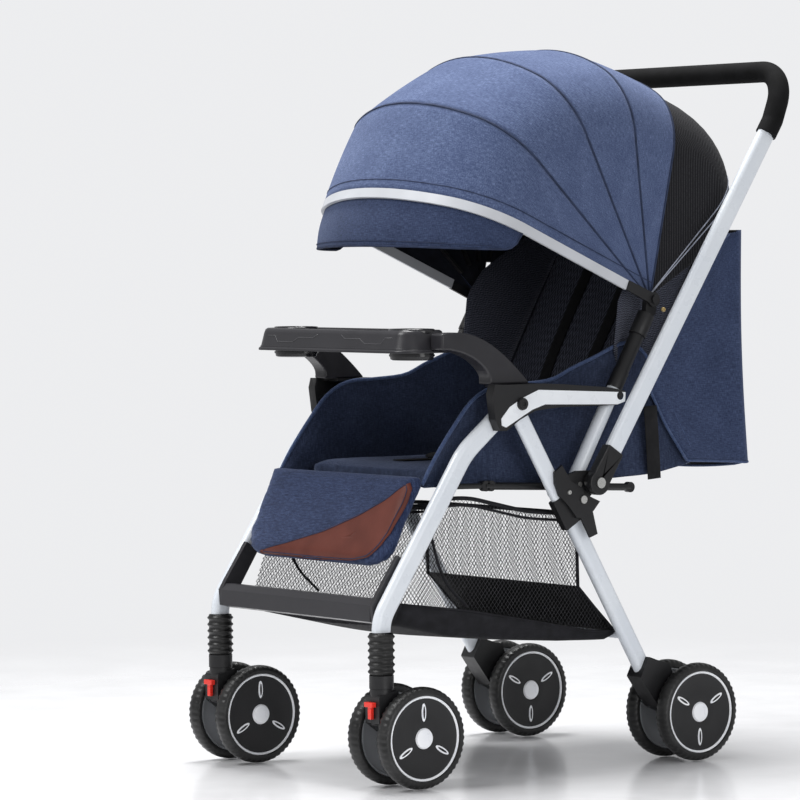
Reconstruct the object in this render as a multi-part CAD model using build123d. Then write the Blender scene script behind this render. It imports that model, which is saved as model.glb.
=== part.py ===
from build123d import *
import os
from math import atan2, cos, degrees, hypot, radians, sin, sqrt, tan

# Baby stroller with a reversible push bar, twin wheels and a folding canopy.
# Millimetres. X is across, Y runs from the front (-) to the back (+), Z is up.
# The origin is on the floor, midway between the axles and between the two sides.
# Points of the side view are written (y, z); the left side mirrors the right one.

# ---- wheels
WHEEL_R = 75.0
TYRE_DEPTH = 12.7
TYRE_WIDTH = 25.0
TYRE_OFFSET = 35.5  # from the middle of a twin pair to the middle of each tyre
TRACK_X = 207.0  # the middle of each twin pair
AXLE_Y = 265.0  # half the wheelbase
AXLE_R = 4.0
AXLE_HALF = 45.0
RUN_GAP = 0.06  # radial play of a running fit
COAT_GAP = 0.3  # gap between nested round faces
HUB_R = 13.0
CAP_R = 16.0
RIM_GAP = 1.5  # how far the rim face lies inside the tyre's side
RIM_WEB = 5.0
SLOT_RING = 38.0
SLOT_SIZE = (25.0, 7.0)

# ---- side frame
FRAME_WALL = 1.5
LEG_X = TRACK_X
LEG_SECTION = (18.0, 30.0)  # across, in the side view
REAR_LEG_SECTION = (18.0, 28.0)
ARM_PIVOT = (-66.0, 556.0)
LEG_CORNERS = [(-154.0, 485.0), (-309.0, 248.0)]
LEG_RADII = [120.0, 58.0]
LEG_FOOT = (-309.0, 229.5)
LEG_TOP_END = 14.0  # tube past the pivot
UPPER_X = 222.5
UPPER_SECTION = (12.0, 27.0)
UPPER_SHIFT = 7.0  # the rod passes this far in front of the armrest pivot
KNUCKLE = (22.7, 423.0)
REAR_LEG_END = (205.5, 112.0)
TUBE_X = 212.0
TUBE_R = 11.0
TUBE_FOOT = (44.0, 427.0)
TUBE_TOP = (191.0, 679.0)
ARM_REAR_PIVOT = (123.7, 563.0)
RAIL_PIVOT_FRONT = (-181.0, 436.0)
RAIL_PIVOT_REAR = (49.0, 432.0)
RAIL_END = (174.5, 421.0)
RAIL_X = (188.0, 197.0)
RAIL_DEPTH = 22.0
RAIL_SPLIT = -105.0  # y where the rod enters the sleeve

# ---- armrest
SHELL_INNER = (188.0, 191.0)
SHELL_OUTER = (230.0, 233.5)
SHELL_WEB = 4.0
ARM_TOP = [(-94.0, 585.0), (-22.0, 585.0), (8.0, 583.5), (105.0, 576.0), (134.0, 570.0)]
ARM_BOTTOM = [(118.0, 549.0), (8.0, 549.0), (-40.0, 545.0), (-70.0, 532.0), (-94.0, 517.0)]
ARM_NOSE = [(-107.0, 517.0), (-115.0, 534.0), (-120.0, 571.0), (-116.0, 586.0)]
INNER_WALL_FRONT = -50.0
NOSE_X = 216.8
INLAY = [(-104, 525), (-105, 535), (-89, 552), (-64, 565), (-34, 576), (134, 568)]
INLAY += [(133, 554), (118, 550), (-22, 554), (-46, 547), (-96, 522)]

# ---- push bar
BAR_PIVOT = (70.0, 434.0)
BAR_X = 242.5
BAR_SECTION = (15.0, 30.0)
SLEEVE_X = (235.0, 251.0)
SLEEVE_R = 18.5
SLEEVE_LENGTH = 58.0
GRIP_START = (412.0, 959.0)
BAR_TOP = (455.0, 1058.0)
GRIP_R = 16.5
BAR_ROD_R = 10.0

# ---- suspension and swivels
SWIVEL_Y = -309.0
POST_R = 7.0
POST_TOP = 236.0
BELLOWS_Z = (167.5, 228.5)
BELLOWS_R = (17.0, 20.0)
PLEATS = 6
COLLAR_Z = (148.0, 167.0)
FORK_Z = (95.0, 147.5)
FORK_HALF = 17.0
SWIVEL_PIN_R = 6.0

# ---- brake
PEDAL_PIVOT = (256.0, 118.0)
PEDAL_SHAFT_R = 3.5
PEDAL_EAR = 5.5
CROSS_TUBE = (158.0, 197.0)

# ---- canopy: each bow is a three-centred arch in a plane through the hinge axis
HINGE = (203.0, 707.0)
BOW_START = 56.0
BOW_ANGLE, BOW_RISE, BOW_HALF = 156.5, 412.0, 216.5
RIB_ANGLES = [135.9, 116.2, 96.1, 77.7]
RIB_RISES = [426.0, 409.0, 382.0, 352.0]
RIB_HALF = 204.0
CORNER_SHARE, CROWN_SHARE = 0.53, 1.6  # arch radii as shares of the half width
BOW_BAND = (15.0, 5.0)
RIB_BAND = (3.6, 8.0)
FABRIC = 1.6
FABRIC_START = 62.0  # the fabric stops this far from the hinge
FABRIC_OFF = 6.5  # fabric's outer face beyond the middle of a rib
BACK_ANGLES = [48.0, 30.0]
BACK_RISES = [326.0, 240.0]
BACK_HALF = 196.0
VISOR_DROP = 68.0
VISOR_FLOOR = 801.0

# ---- seat
SEAT_HALF = 178.0
RECLINE = (150.0, 450.0)
BACK_SLOPE = 60.9
BACK_LENGTH = 480.0
BACKREST_HALF = 168.0
LEG_REST_HALF = 187.0
LEG_REST_TOP = (-212.0, 460.0)
LEG_REST_SLOPE = 244.5
LEG_REST_LENGTH = 150.0

# ---- tray
TRAY_HALF = 196.0
TRAY_Y = (-256.0, -155.0)
TRAY_CORNER = 32.0
TRAY_Z = (634.0, 667.0)
CUP_X, CUP_Y = 147.0, -204.0
CUP_R = 38.0
CUP_BOTTOM = 622.0
TRAY_ARM_X = (193.0, 222.0)
PEG = ((217.0, 221.5), (-55.0, -42.0), (577.0, 590.0))
PEG_GAP = 0.4


# ---------------------------------------------------------------- helpers
def plate(points, x0, x1, radius=0.0):
    """A flat piece: an outline of the side view, from x0 to x1."""
    face = make_face(Polyline(*points, close=True))
    if radius:
        face = fillet(face.vertices(), radius)
    return extrude(Plane.YZ.offset(x0) * face, amount=x1 - x0, dir=(1, 0, 0))


def rod_x(centre, radius, x0, x1):
    """A round bar along X."""
    circle = Plane.YZ.offset(x0) * Pos(*centre) * Circle(radius)
    return extrude(circle, amount=x1 - x0, dir=(1, 0, 0))


def block(x, y, z):
    """A box from its three ranges."""
    size = [b - a for a, b in (x, y, z)]
    middle = [(a + b) / 2 for a, b in (x, y, z)]
    return Pos(*middle) * Box(*size)


def bent(points, radii):
    """A wire of straight runs joined by tangent arcs."""
    points = [Vector(*p) for p in points]
    edges, start = [], points[0]
    for before, corner, after, radius in zip(points, points[1:], points[2:], radii):
        a, b = (before - corner).normalized(), (after - corner).normalized()
        half = radians(a.get_angle(b)) / 2
        reach = radius / tan(half)
        first, last = corner + a * reach, corner + b * reach
        middle = corner + (a + b).normalized() * (radius / sin(half) - radius)
        if (first - start).length > 0.01:
            edges.append(Line(start, first))
        edges.append(ThreePointArc(first, middle, last))
        start = last
    edges.append(Line(start, points[-1]))
    return Wire([e.edge() for e in edges])


def in_side(x, points):
    return [(x, y, z) for y, z in points]


def flat_oval(size):
    return RectangleRounded(size[0], size[1], min(size) / 2 - 0.1)


def swept(path, section):
    start = Plane(path @ 0, x_dir=(1, 0, 0), z_dir=path % 0)
    return sweep(start * section, path)


def oval_tube(path, size, wall=FRAME_WALL):
    inner = (size[0] - 2 * wall, size[1] - 2 * wall)
    return swept(path, flat_oval(size)) - swept(path, flat_oval(inner))


def round_tube(path, outer, inner):
    return swept(path, Circle(outer)) - swept(path, Circle(inner))


def beyond(a, b, distance):
    """The point past a, on the line from b to a."""
    run = hypot(a[0] - b[0], a[1] - b[1])
    return tuple(p + (p - q) / run * distance for p, q in zip(a, b))


def along(origin, angle, distance, side=0.0):
    """A point of the side view: distance along a direction, then to its left."""
    c, s = cos(radians(angle)), sin(radians(angle))
    return (origin[0] + c * distance - s * side, origin[1] + s * distance + c * side)


def other_side(shape):
    return mirror(shape, about=Plane.YZ)


def save(name, *shapes):
    solids = [s for shape in shapes for s in shape.solids()]
    export_step(Compound(solids), f"parts/{name}.step")


def save_pair(name, *shapes):
    save(name, *shapes, *[other_side(s) for s in shapes])


def save_each(name, *shapes):
    save(f"{name}_right", *shapes)
    save(f"{name}_left", *[other_side(s) for s in shapes])


# ---------------------------------------------------------------- side frame
REAR_SLOPE = degrees(atan2(KNUCKLE[1] - REAR_LEG_END[1], KNUCKLE[0] - REAR_LEG_END[0])) - 180
UPPER_SLOPE = -59.3
TUBE_SLOPE = degrees(atan2(TUBE_TOP[1] - TUBE_FOOT[1], TUBE_TOP[0] - TUBE_FOOT[0]))
BAR_SLOPE = degrees(atan2(GRIP_START[1] - BAR_PIVOT[1], GRIP_START[0] - BAR_PIVOT[0]))
PIN_R = 4.0
ARM_PIN_R = 5.0
UPPER_TOP = (ARM_PIVOT[0] - UPPER_SHIFT, ARM_PIVOT[1])
UPPER_END = along(UPPER_TOP, UPPER_SLOPE, 199.0)


def drilled(shape, centre, radius):
    return shape - rod_x(centre, radius + RUN_GAP, 150, 270)


def front_leg_tube():
    top = beyond(ARM_PIVOT, LEG_CORNERS[0], LEG_TOP_END)
    path = bent(in_side(LEG_X, [top, *LEG_CORNERS, LEG_FOOT]), LEG_RADII)
    tube = drilled(oval_tube(path, LEG_SECTION), ARM_PIVOT, ARM_PIN_R)
    return tube - rod_x(RAIL_PIVOT_FRONT, ARM_PIN_R + RUN_GAP, 190, 205)


def upper_line():
    top = along(UPPER_TOP, UPPER_SLOPE, -LEG_TOP_END + 2)
    return Wire([Line(*in_side(UPPER_X, [top, UPPER_END])).edge()])


def upper_tube():
    tube = oval_tube(upper_line(), UPPER_SECTION)
    return drilled(drilled(tube, ARM_PIVOT, ARM_PIN_R), KNUCKLE, PIN_R)


def upper_room():
    return swept(upper_line(), flat_oval([side + 0.6 for side in UPPER_SECTION]))


def rear_leg_tube():
    """The lower rear leg; two round cheeks close its top about the knuckle pin."""
    path = Wire([Line(*in_side(LEG_X, [KNUCKLE, REAR_LEG_END])).edge()])
    tube = oval_tube(path, REAR_LEG_SECTION)
    half = REAR_LEG_SECTION[0] / 2
    for x0 in (LEG_X - half, LEG_X + half - FRAME_WALL):
        tube += rod_x(KNUCKLE, REAR_LEG_SECTION[1] / 2, x0, x0 + FRAME_WALL)
    return drilled(tube, KNUCKLE, PIN_R)


def side_tube():
    path = Wire([Line(*in_side(TUBE_X, [TUBE_FOOT, TUBE_TOP])).edge()])
    tube = round_tube(path, TUBE_R, TUBE_R - FRAME_WALL)
    return drilled(drilled(tube, ARM_REAR_PIVOT, PIN_R), RAIL_PIVOT_REAR, PIN_R)


def side_tube_room():
    path = Wire([Line(*in_side(TUBE_X, [TUBE_FOOT, TUBE_TOP])).edge()])
    return swept(path, Circle(TUBE_R + 1))


def armrest_shell():
    """A cover open below: the front leg and the rod enter it behind its nose."""
    outline = ARM_TOP + ARM_BOTTOM + ARM_NOSE
    inner = plate(outline, *SHELL_INNER) & block((180, 200), (INNER_WALL_FRONT, 150), (500, 600))
    under = [(y, z - SHELL_WEB) for y, z in reversed(ARM_TOP)]
    behind = [(y + SHELL_WEB, z) for y, z in reversed(ARM_NOSE)]
    web = plate(ARM_TOP + under, SHELL_INNER[1], SHELL_OUTER[0])
    nose = plate(ARM_NOSE + behind, NOSE_X, SHELL_OUTER[0])
    shell = inner + plate(outline, *SHELL_OUTER) + web + nose - side_tube_room()
    shell -= block(*[(low - PEG_GAP, high + PEG_GAP) for low, high in PEG])
    return drilled(drilled(shell, ARM_PIVOT, ARM_PIN_R), ARM_REAR_PIVOT, PIN_R)


def armrest_panel():
    panel = plate(INLAY, SHELL_OUTER[1], SHELL_OUTER[1] + 0.9)
    return panel - rod_x(ARM_PIVOT, 9.5, 200, 250) - rod_x(ARM_REAR_PIVOT, 6.5, 200, 250)


def knuckle_bracket():
    lug = rod_x(KNUCKLE, 15.5, 216.8, 229.0)
    web = plate([(22, 446), (42, 452), (70, 452), (74, 418), (50, 398), (37, 408)], 223.6, 229.0)
    boss = rod_x(BAR_PIVOT, 15.0, 223.6, 234.6)
    bracket = drilled(lug + web + boss - upper_room(), KNUCKLE, PIN_R)
    bracket = drilled(drilled(bracket, BAR_PIVOT, ARM_PIN_R), RAIL_PIVOT_REAR, PIN_R)
    return drilled(bracket, LOCK_PIVOT, PIN_R)


def frame_pins():
    arm = rod_x(ARM_PIVOT, ARM_PIN_R, 196.0, 236.5) + rod_x(ARM_PIVOT, 9.0, 234.6, 238.0)
    arm += rod_x(ARM_PIVOT, 8.0, 195.0, 197.6)
    arm_rear = rod_x(ARM_REAR_PIVOT, PIN_R, 187.0, 234.6)
    knuckle = rod_x(KNUCKLE, PIN_R, 197.7, 229.0)
    rail = rod_x(RAIL_PIVOT_REAR, PIN_R, 185.0, 229.0) + rod_x(RAIL_PIVOT_REAR, 6.0, 184.5, 187.5)
    bar = rod_x(BAR_PIVOT, ARM_PIN_R, 223.6, 252.0) + rod_x(BAR_PIVOT, 8.0, 251.4, 254.0)
    hood = rod_x(HINGE, PIN_R, 204.0, 224.0) + rod_x(HINGE, 6.5, 222.5, 225.5)
    lock = rod_x(LOCK_PIVOT, PIN_R, 223.6, 237.0) + rod_x(LOCK_PIVOT, 6.0, 235.2, 237.2)
    return [arm, arm_rear, knuckle, rail, bar, hood, lock]


# ---------------------------------------------------------------- fold lock
LOCK_PIVOT = (50.0, 409.0)
LOCK_OUTLINE = [
    (10, 462), (-4, 452), (-3, 435), (5, 416), (22, 401), (38, 382), (50, 381),
    (70, 391), (83, 405), (52, 418), (49, 427), (28, 437), (18, 451),
]


def fold_lock():
    hook = plate(LOCK_OUTLINE, 229.6, 234.4)
    tab = plate([(47, 381), (70, 390), (79, 356), (64, 351)], 229.6, 233.0)
    return drilled(hook + tab, LOCK_PIVOT, PIN_R)


# ---------------------------------------------------------------- seat rails
def rail_line(y):
    slope = (RAIL_END[1] - RAIL_PIVOT_FRONT[1]) / (RAIL_END[0] - RAIL_PIVOT_FRONT[0])
    return RAIL_PIVOT_FRONT[1] + slope * (y - RAIL_PIVOT_FRONT[0])


def rail_strip(y0, y1, half):
    ends = [(y0, rail_line(y0)), (y1, rail_line(y1))]
    low = [(y, z - half) for y, z in ends]
    high = [(y, z + half) for y, z in reversed(ends)]
    return low + high


def seat_rail_rod():
    bar = plate(rail_strip(RAIL_PIVOT_FRONT[0] - 10, -10, RAIL_DEPTH / 2 - 2.2), 189.8, 195.2, 2)
    eye = rod_x(RAIL_PIVOT_FRONT, RAIL_DEPTH / 2, 188.5, 197.4)
    stud = rod_x(RAIL_PIVOT_FRONT, ARM_PIN_R, 197.0, 203.0)
    return bar + eye + stud


def seat_rail_sleeve():
    body = plate(rail_strip(RAIL_SPLIT, RAIL_END[0], RAIL_DEPTH / 2), *RAIL_X)
    body += rod_x(RAIL_PIVOT_REAR, 10.0, *RAIL_X)
    cavity = plate(rail_strip(RAIL_SPLIT - 5, 35, RAIL_DEPTH / 2 - 1.4), 189.0, 196.0)
    return drilled(body - cavity, RAIL_PIVOT_REAR, PIN_R)


# ---------------------------------------------------------------- wheels
def wheel_pair(side, axle_y, turn):
    """The two tyres and the two rims of one twin wheel, on its axle."""
    tyres, rims = [], []
    rim_r = WHEEL_R - TYRE_DEPTH
    for way in (-1, 1):
        middle = side * TRACK_X + way * TYRE_OFFSET
        low, high = middle - TYRE_WIDTH / 2, middle + TYRE_WIDTH / 2
        tyre = rod_x((axle_y, WHEEL_R), WHEEL_R, low, high)
        tyre -= rod_x((axle_y, WHEEL_R), rim_r + COAT_GAP, low - 1, high + 1)
        tyres.append(fillet(tyre.edges().group_by(SortBy.LENGTH)[-1], 4))
        face = middle + way * (TYRE_WIDTH / 2 - RIM_GAP)
        web = sorted((face, face - way * RIM_WEB))
        rim = rod_x((axle_y, WHEEL_R), rim_r, *web)
        band = rod_x((axle_y, WHEEL_R), rim_r, low + 1, high - 1)
        band -= rod_x((axle_y, WHEEL_R), rim_r - 3, low, high)
        hub = rod_x((axle_y, WHEEL_R), HUB_R, *sorted((face, middle - way * 10)))
        cap = rod_x((axle_y, WHEEL_R), CAP_R, *sorted((face, face + way * 2)))
        rim = rim + band + hub + cap
        bore = sorted((side * TRACK_X, side * TRACK_X + way * (AXLE_HALF + 0.8)))
        rim -= rod_x((axle_y, WHEEL_R), AXLE_R + RUN_GAP, *bore)
        for third in (0, 120, 240):
            slot = Rot(0, 0, turn + third) * Pos(SLOT_RING, 0) * Ellipse(SLOT_SIZE[0] / 2, SLOT_SIZE[1] / 2)
            cut = Plane.YZ.offset(face - 4) * Pos(axle_y, WHEEL_R) * slot
            rim -= extrude(cut, amount=8, dir=(1, 0, 0))
        rims.append(rim)
    return tyres, rims


def save_wheels():
    for end, axle_y, turn in (("front", -AXLE_Y, 90), ("rear", AXLE_Y, 270)):
        for name, side in (("right", 1), ("left", -1)):
            tyres, rims = wheel_pair(side, axle_y, turn)
            save(f"{end}_tyres_{name}", *tyres)
            save(f"{end}_rims_{name}", *rims)


def axle(axle_y):
    return rod_x((axle_y, WHEEL_R), AXLE_R, TRACK_X - AXLE_HALF, TRACK_X + AXLE_HALF)


# ---------------------------------------------------------------- front suspension
def upright(radius, z0, z1):
    return Pos(TRACK_X, SWIVEL_Y, z0) * Cylinder(radius, z1 - z0, align=(Align.CENTER, Align.CENTER, Align.MIN))


def front_post():
    post = upright(POST_R, COLLAR_Z[0], POST_TOP) + upright(18.0, *COLLAR_Z)
    return post + upright(SWIVEL_PIN_R, 102, COLLAR_Z[0])


def bellows():
    pitch = (BELLOWS_Z[1] - BELLOWS_Z[0]) / PLEATS
    points = [(POST_R + 8, BELLOWS_Z[0])]
    for i in range(PLEATS):
        low = BELLOWS_Z[0] + i * pitch
        points += [(BELLOWS_R[0], low), (BELLOWS_R[1], low + pitch / 2)]
    points += [(BELLOWS_R[0], BELLOWS_Z[1]), (POST_R + 8, BELLOWS_Z[1])]
    profile = make_face(Plane.XZ * Polyline(*points, close=True))
    return Pos(TRACK_X, SWIVEL_Y, 0) * revolve(profile, Axis.Z)


def front_fork():
    housing = upright(FORK_HALF, *FORK_Z)
    web = plate(
        [(-326, 98), (-326, 138), (-292, 146), (-283, 118), (-251, 88), (-253, 64), (-275, 60)],
        TRACK_X - FORK_HALF, TRACK_X + FORK_HALF, 3,
    )
    boss = rod_x((-AXLE_Y, WHEEL_R), 15.0, TRACK_X - FORK_HALF, TRACK_X + FORK_HALF)
    fork = housing + web + boss - upright(SWIVEL_PIN_R + RUN_GAP, 100, 160)
    return fork - rod_x((-AXLE_Y, WHEEL_R), AXLE_R + RUN_GAP, 150, 270)


def swivel_lock():
    stem = block((TRACK_X - 4, TRACK_X + 4), (-331.5, -326.4), (104, 126))
    bar = block((TRACK_X - 10, TRACK_X + 10), (-334, -326.4), (122, 129))
    return stem + bar


# ---------------------------------------------------------------- rear end
def rear_leg_sleeve():
    """The moulded end over the foot of the upper rod."""
    corners = [along(UPPER_END, UPPER_SLOPE, d, s) for d, s in ((-34, 16.5), (16, 16.5), (16, -16.5), (-34, -16.5))]
    sleeve = plate(corners, 216.6, 229.0, 2) - upper_room()
    return sleeve - rod_x(KNUCKLE, 16.0, 210, 235)


def rear_wheel_housing():
    shape = [(170, 132), (186, 163), (211, 154), (228, 150), (240, 118), (276, 88), (262, 59), (206, 84)]
    low, high = TRACK_X - FORK_HALF, TRACK_X + FORK_HALF
    body = plate(shape, low, high, 3) + rod_x((AXLE_Y, WHEEL_R), 16.0, low, high)
    leg = Wire([Line(*in_side(LEG_X, [KNUCKLE, beyond(REAR_LEG_END, KNUCKLE, 0.3)])).edge()])
    body -= swept(leg, flat_oval([side + 0.6 for side in REAR_LEG_SECTION]))
    ear = [(228, 112), (240, 126), (254, 130), (268, 126), (272, 106), (262, 90)]
    for x0 in (low, high - PEDAL_EAR):
        body += plate(ear, x0, x0 + PEDAL_EAR)
    body -= rod_x(PEDAL_PIVOT, PEDAL_SHAFT_R + RUN_GAP, 150, 270)
    return body - rod_x((AXLE_Y, WHEEL_R), AXLE_R + RUN_GAP, 150, 270)


def rear_cross_tube():
    path = Wire([Line((-197.6, *CROSS_TUBE), (197.6, *CROSS_TUBE)).edge()])
    start = Plane(path @ 0, x_dir=(0, 1, 0), z_dir=path % 0)
    return sweep(start * Circle(7.0), path) - sweep(start * Circle(5.8), path)


def brake_pedal():
    y, z = PEDAL_PIVOT
    low, high = TRACK_X - FORK_HALF, TRACK_X + FORK_HALF
    inside = (low + PEDAL_EAR + 0.5, high - PEDAL_EAR - 0.5)
    tread = [(y - 2, z + 6), (y + 30, z + 4), (y + 62, z - 1), (y + 64, z - 6), (y + 30, z - 3), (y, z - 5)]
    return rod_x(PEDAL_PIVOT, PEDAL_SHAFT_R, low, high) + rod_x(PEDAL_PIVOT, 6.5, *inside) + plate(tread, *inside)


# ---------------------------------------------------------------- push bar
def bar_sleeve():
    middle = along(BAR_PIVOT, BAR_SLOPE, SLEEVE_LENGTH)
    corners = [along(p, BAR_SLOPE, 0, s) for p, s in
               ((BAR_PIVOT, 17.0), (middle, 16.0), (middle, -16.0), (BAR_PIVOT, -17.0))]
    body = plate(corners, *SLEEVE_X) + rod_x(BAR_PIVOT, SLEEVE_R, *SLEEVE_X)
    return drilled(body, BAR_PIVOT, ARM_PIN_R)


def push_tubes():
    low = along(BAR_PIVOT, BAR_SLOPE, SLEEVE_LENGTH + 0.2)
    side = oval_tube(Wire([Line(*in_side(BAR_X, [low, GRIP_START])).edge()]), BAR_SECTION)
    rod = round_tube(grip_path(), BAR_ROD_R, BAR_ROD_R - FRAME_WALL)
    return [side, other_side(side), rod]


def grip_path():
    start = along(GRIP_START, BAR_SLOPE, 0.3)
    right = in_side(BAR_X, [start, along(start, BAR_SLOPE, 25), BAR_TOP])
    left = [(-x, y, z) for x, y, z in reversed(right)]
    return bent(right + left, [30.0, 55.0, 55.0, 30.0])


# ---------------------------------------------------------------- canopy
def arch(angle, rise, half, start):
    """Three-centred arch from hinge side to hinge side, as a wire in space."""
    corner, crown = CORNER_SHARE * half, CROWN_SHARE * half
    spring = rise - crown + sqrt((crown - corner) ** 2 - (half - corner) ** 2)
    lean = atan2(half - corner, spring - (rise - crown))
    kiss = (crown * sin(lean), rise - crown + crown * cos(lean))
    turn = (half - corner + corner * cos((radians(90) - lean) / 2), spring + corner * sin((radians(90) - lean) / 2))

    def place(x, r):
        return (x, *along(HINGE, angle, r))

    right = [place(half, start), place(half, spring), place(*turn), place(*kiss)]
    left = [place(-half, start), place(-half, spring), place(-turn[0], turn[1]), place(-kiss[0], kiss[1])]
    edges = [
        Line(right[0], right[1]),
        ThreePointArc(right[1], right[2], right[3]),
        ThreePointArc(right[3], place(0, rise), left[3]),
        ThreePointArc(left[3], left[2], left[1]),
        Line(left[1], left[0]),
    ]
    return edges


def arch_bow(angle, rise, half, start, band):
    """A flat strip bent to an arch; band is (across the arch's plane, in it)."""
    path = Wire([e.edge() for e in arch(angle, rise, half, start)])
    section = Plane(path @ 0, x_dir=(1, 0, 0), z_dir=path % 0) * Rectangle(band[1], band[0])
    return sweep(section, path)


def arch_face(angle, rise, half, start):
    """The thin U of fabric that an arch cuts, as a face in the arch's plane."""
    outer = arch(angle, rise, half, start)
    inner = arch(angle, rise - FABRIC, half - FABRIC, start)
    ends = [Line(outer[0] @ 0, inner[0] @ 0), Line(outer[-1] @ 1, inner[-1] @ 1)]
    return make_face([e.edge() for e in outer + inner + ends])


def canopy_panels():
    stations = list(zip(RIB_ANGLES, RIB_RISES, [RIB_HALF] * 4))
    stations.insert(0, (BOW_ANGLE - 2.4, BOW_RISE + 1, BOW_HALF + 1))
    faces = [arch_face(a, r + FABRIC_OFF, h + FABRIC_OFF, FABRIC_START) for a, r, h in stations]
    return [loft([a, b], ruled=True) for a, b in zip(faces, faces[1:])]


def back_mesh():
    stations = [(RIB_ANGLES[-1] - 1.2, RIB_RISES[-1] + FABRIC_OFF, RIB_HALF + FABRIC_OFF)]
    stations += list(zip(BACK_ANGLES, BACK_RISES, [BACK_HALF + 4, BACK_HALF]))
    faces = [arch_face(a, r, h, 40.0) for a, r, h in stations]
    return [loft([a, b], ruled=True) for a, b in zip(faces, faces[1:])]


def visor():
    edges = arch(BOW_ANGLE, BOW_RISE - 4.5, BOW_HALF - 4.5, BOW_START)
    inner = arch(BOW_ANGLE, BOW_RISE - 6.1, BOW_HALF - 6.1, BOW_START)
    crown = [e.edge() for e in edges[1:4] + inner[1:4]]
    ends = [Line(edges[1] @ 0, inner[1] @ 0).edge(), Line(edges[3] @ 1, inner[3] @ 1).edge()]
    flap = extrude(make_face(crown + ends), amount=VISOR_DROP, dir=(0, -0.05, -1))
    return flap & block((-300, 300), (-400, 200), (VISOR_FLOOR, 1000))


def bow_end():
    """The black arm from the hinge screw to the end of the white strip."""
    width = BOW_BAND[0] / 2
    far = along(HINGE, BOW_ANGLE, BOW_START - 0.3)
    corners = [along(p, BOW_ANGLE, 0, s) for p, s in
               ((HINGE, width + 1), (far, width), (far, -width), (HINGE, -width - 1))]
    arm = plate(corners, 216.6, 221.6) + rod_x(HINGE, 11.0, 216.6, 221.6)
    return arm - rod_x(HINGE, PIN_R + RUN_GAP, 200, 240)


def hinge_bracket():
    low = along(TUBE_TOP, TUBE_SLOPE, -30)
    path = Wire([Line(*in_side(TUBE_X, [low, TUBE_TOP])).edge()])
    clamp = round_tube(path, TUBE_R + 2.5, TUBE_R + COAT_GAP)
    cap_path = Wire([Line(*in_side(TUBE_X, [along(TUBE_TOP, TUBE_SLOPE, 0.3), along(TUBE_TOP, TUBE_SLOPE, 6)])).edge()])
    cap = swept(cap_path, Circle(TUBE_R + 2.5))
    collar = round_tube(Wire([Line(*in_side(TUBE_X, [TUBE_TOP, along(TUBE_TOP, TUBE_SLOPE, 0.3)])).edge()]),
                        TUBE_R + 2.5, TUBE_R + COAT_GAP)
    ear = plate([(190, 690), (194, 713), (203, 718), (214, 712), (210, 684), (200, 680)], 206.0, 216.0)
    return clamp + cap + collar + ear - rod_x(HINGE, PIN_R + RUN_GAP, 200, 240)


# ---------------------------------------------------------------- seat and soft goods
def backrest_points(start, end, front, back):
    base = along(RECLINE, BACK_SLOPE, 0, 8.0)
    return [along(base, BACK_SLOPE, s, side) for s, side in
            ((start, front), (end, front), (end, back), (start, back))]


def rounded_end(slab, origin, slope, length, half, radius):
    """Round the two corners at the far end of a flat pad."""
    down = Vector(0, *along((0, 0), slope, 1.0))
    ends = [e for e in slab.edges().filter_by(GeomType.LINE) if abs((e @ 0.5).X) > half - 1
            and (e @ 0.5 - Vector(0, *origin)).dot(down) > length - 1 and abs((e % 0.5).X) < 0.1]
    return fillet(ends, radius)


def backrest_pad():
    slab = plate(backrest_points(8, BACK_LENGTH, 0, -22), -BACKREST_HALF, BACKREST_HALF)
    board = rounded_end(slab, RECLINE, BACK_SLOPE, BACK_LENGTH, BACKREST_HALF, 90)
    return board + rod_x(RECLINE, 9.0, -BACKREST_HALF, BACKREST_HALF)


def back_flap():
    wing = [(400, 812), (413, 452), (296, 457), (253, 514), (213, 584), (340, 775)]
    wall = [(397.5, 812), (400, 812), (413, 452), (410.5, 452)]
    sides = [plate(wing, x, x + 1.6) for x in (185.2, -186.8)]
    return [*sides, plate(wall, -185.0, 185.0)]


def seat_pad():
    shape = [(-176, 446), (-174, 461), (-150, 463), (0, 452), (138, 455), (136, 436), (0, 434), (-150, 443)]
    return plate(shape, -SEAT_HALF, SEAT_HALF)


def seat_side_panel():
    shape = [(-172, 456), (-9, 432), (166, 436), (162, 640), (110, 613), (59, 594), (17, 579), (-110, 577), (-168, 507)]
    return plate(shape, 181.0, 184.0)


def leg_rest():
    top, slope, length = LEG_REST_TOP, LEG_REST_SLOPE, LEG_REST_LENGTH
    face = [along(top, slope, d, s) for d, s in ((2, 0), (length, 0), (length, 16), (2, 16))]
    slab = plate(face, -LEG_REST_HALF, LEG_REST_HALF)
    board = rounded_end(slab, top, slope, length, LEG_REST_HALF, 48)
    return board + rod_x(top, 7.0, -LEG_REST_HALF, LEG_REST_HALF)


def harness():
    straps = []
    for x in (-55, 55):
        straps.append(plate(backrest_points(40, 330, 2.6, 1.0), x - 12.5, x + 12.5))
    return straps


def buckle():
    body = block((-24, 24), (14, 30), (466, 508))
    strap = block((-12, 12), (20.5, 23.5), (455.5, 466))
    return body + strap


def recline_strap():
    return plate([(205, 544), (233, 543), (239, 431), (214, 432)], 190.5, 191.7)


# ---------------------------------------------------------------- basket
def basket_mesh():
    side = [(-205, 411), (-171, 416), (-62, 404), (72, 384), (75, 273.5), (-114, 266.5), (-260, 289.5)]
    front = [(-260, 290), (-206, 408), (-204.5, 408), (-258.5, 290)]
    rear = [(73.5, 274), (70.5, 383), (72, 383), (75, 274)]
    walls = [plate(side, x, x + 1.4) for x in (184.6, -186.0)]
    return [*walls, plate(front, -184, 184), plate(rear, -184, 184)]


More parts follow.
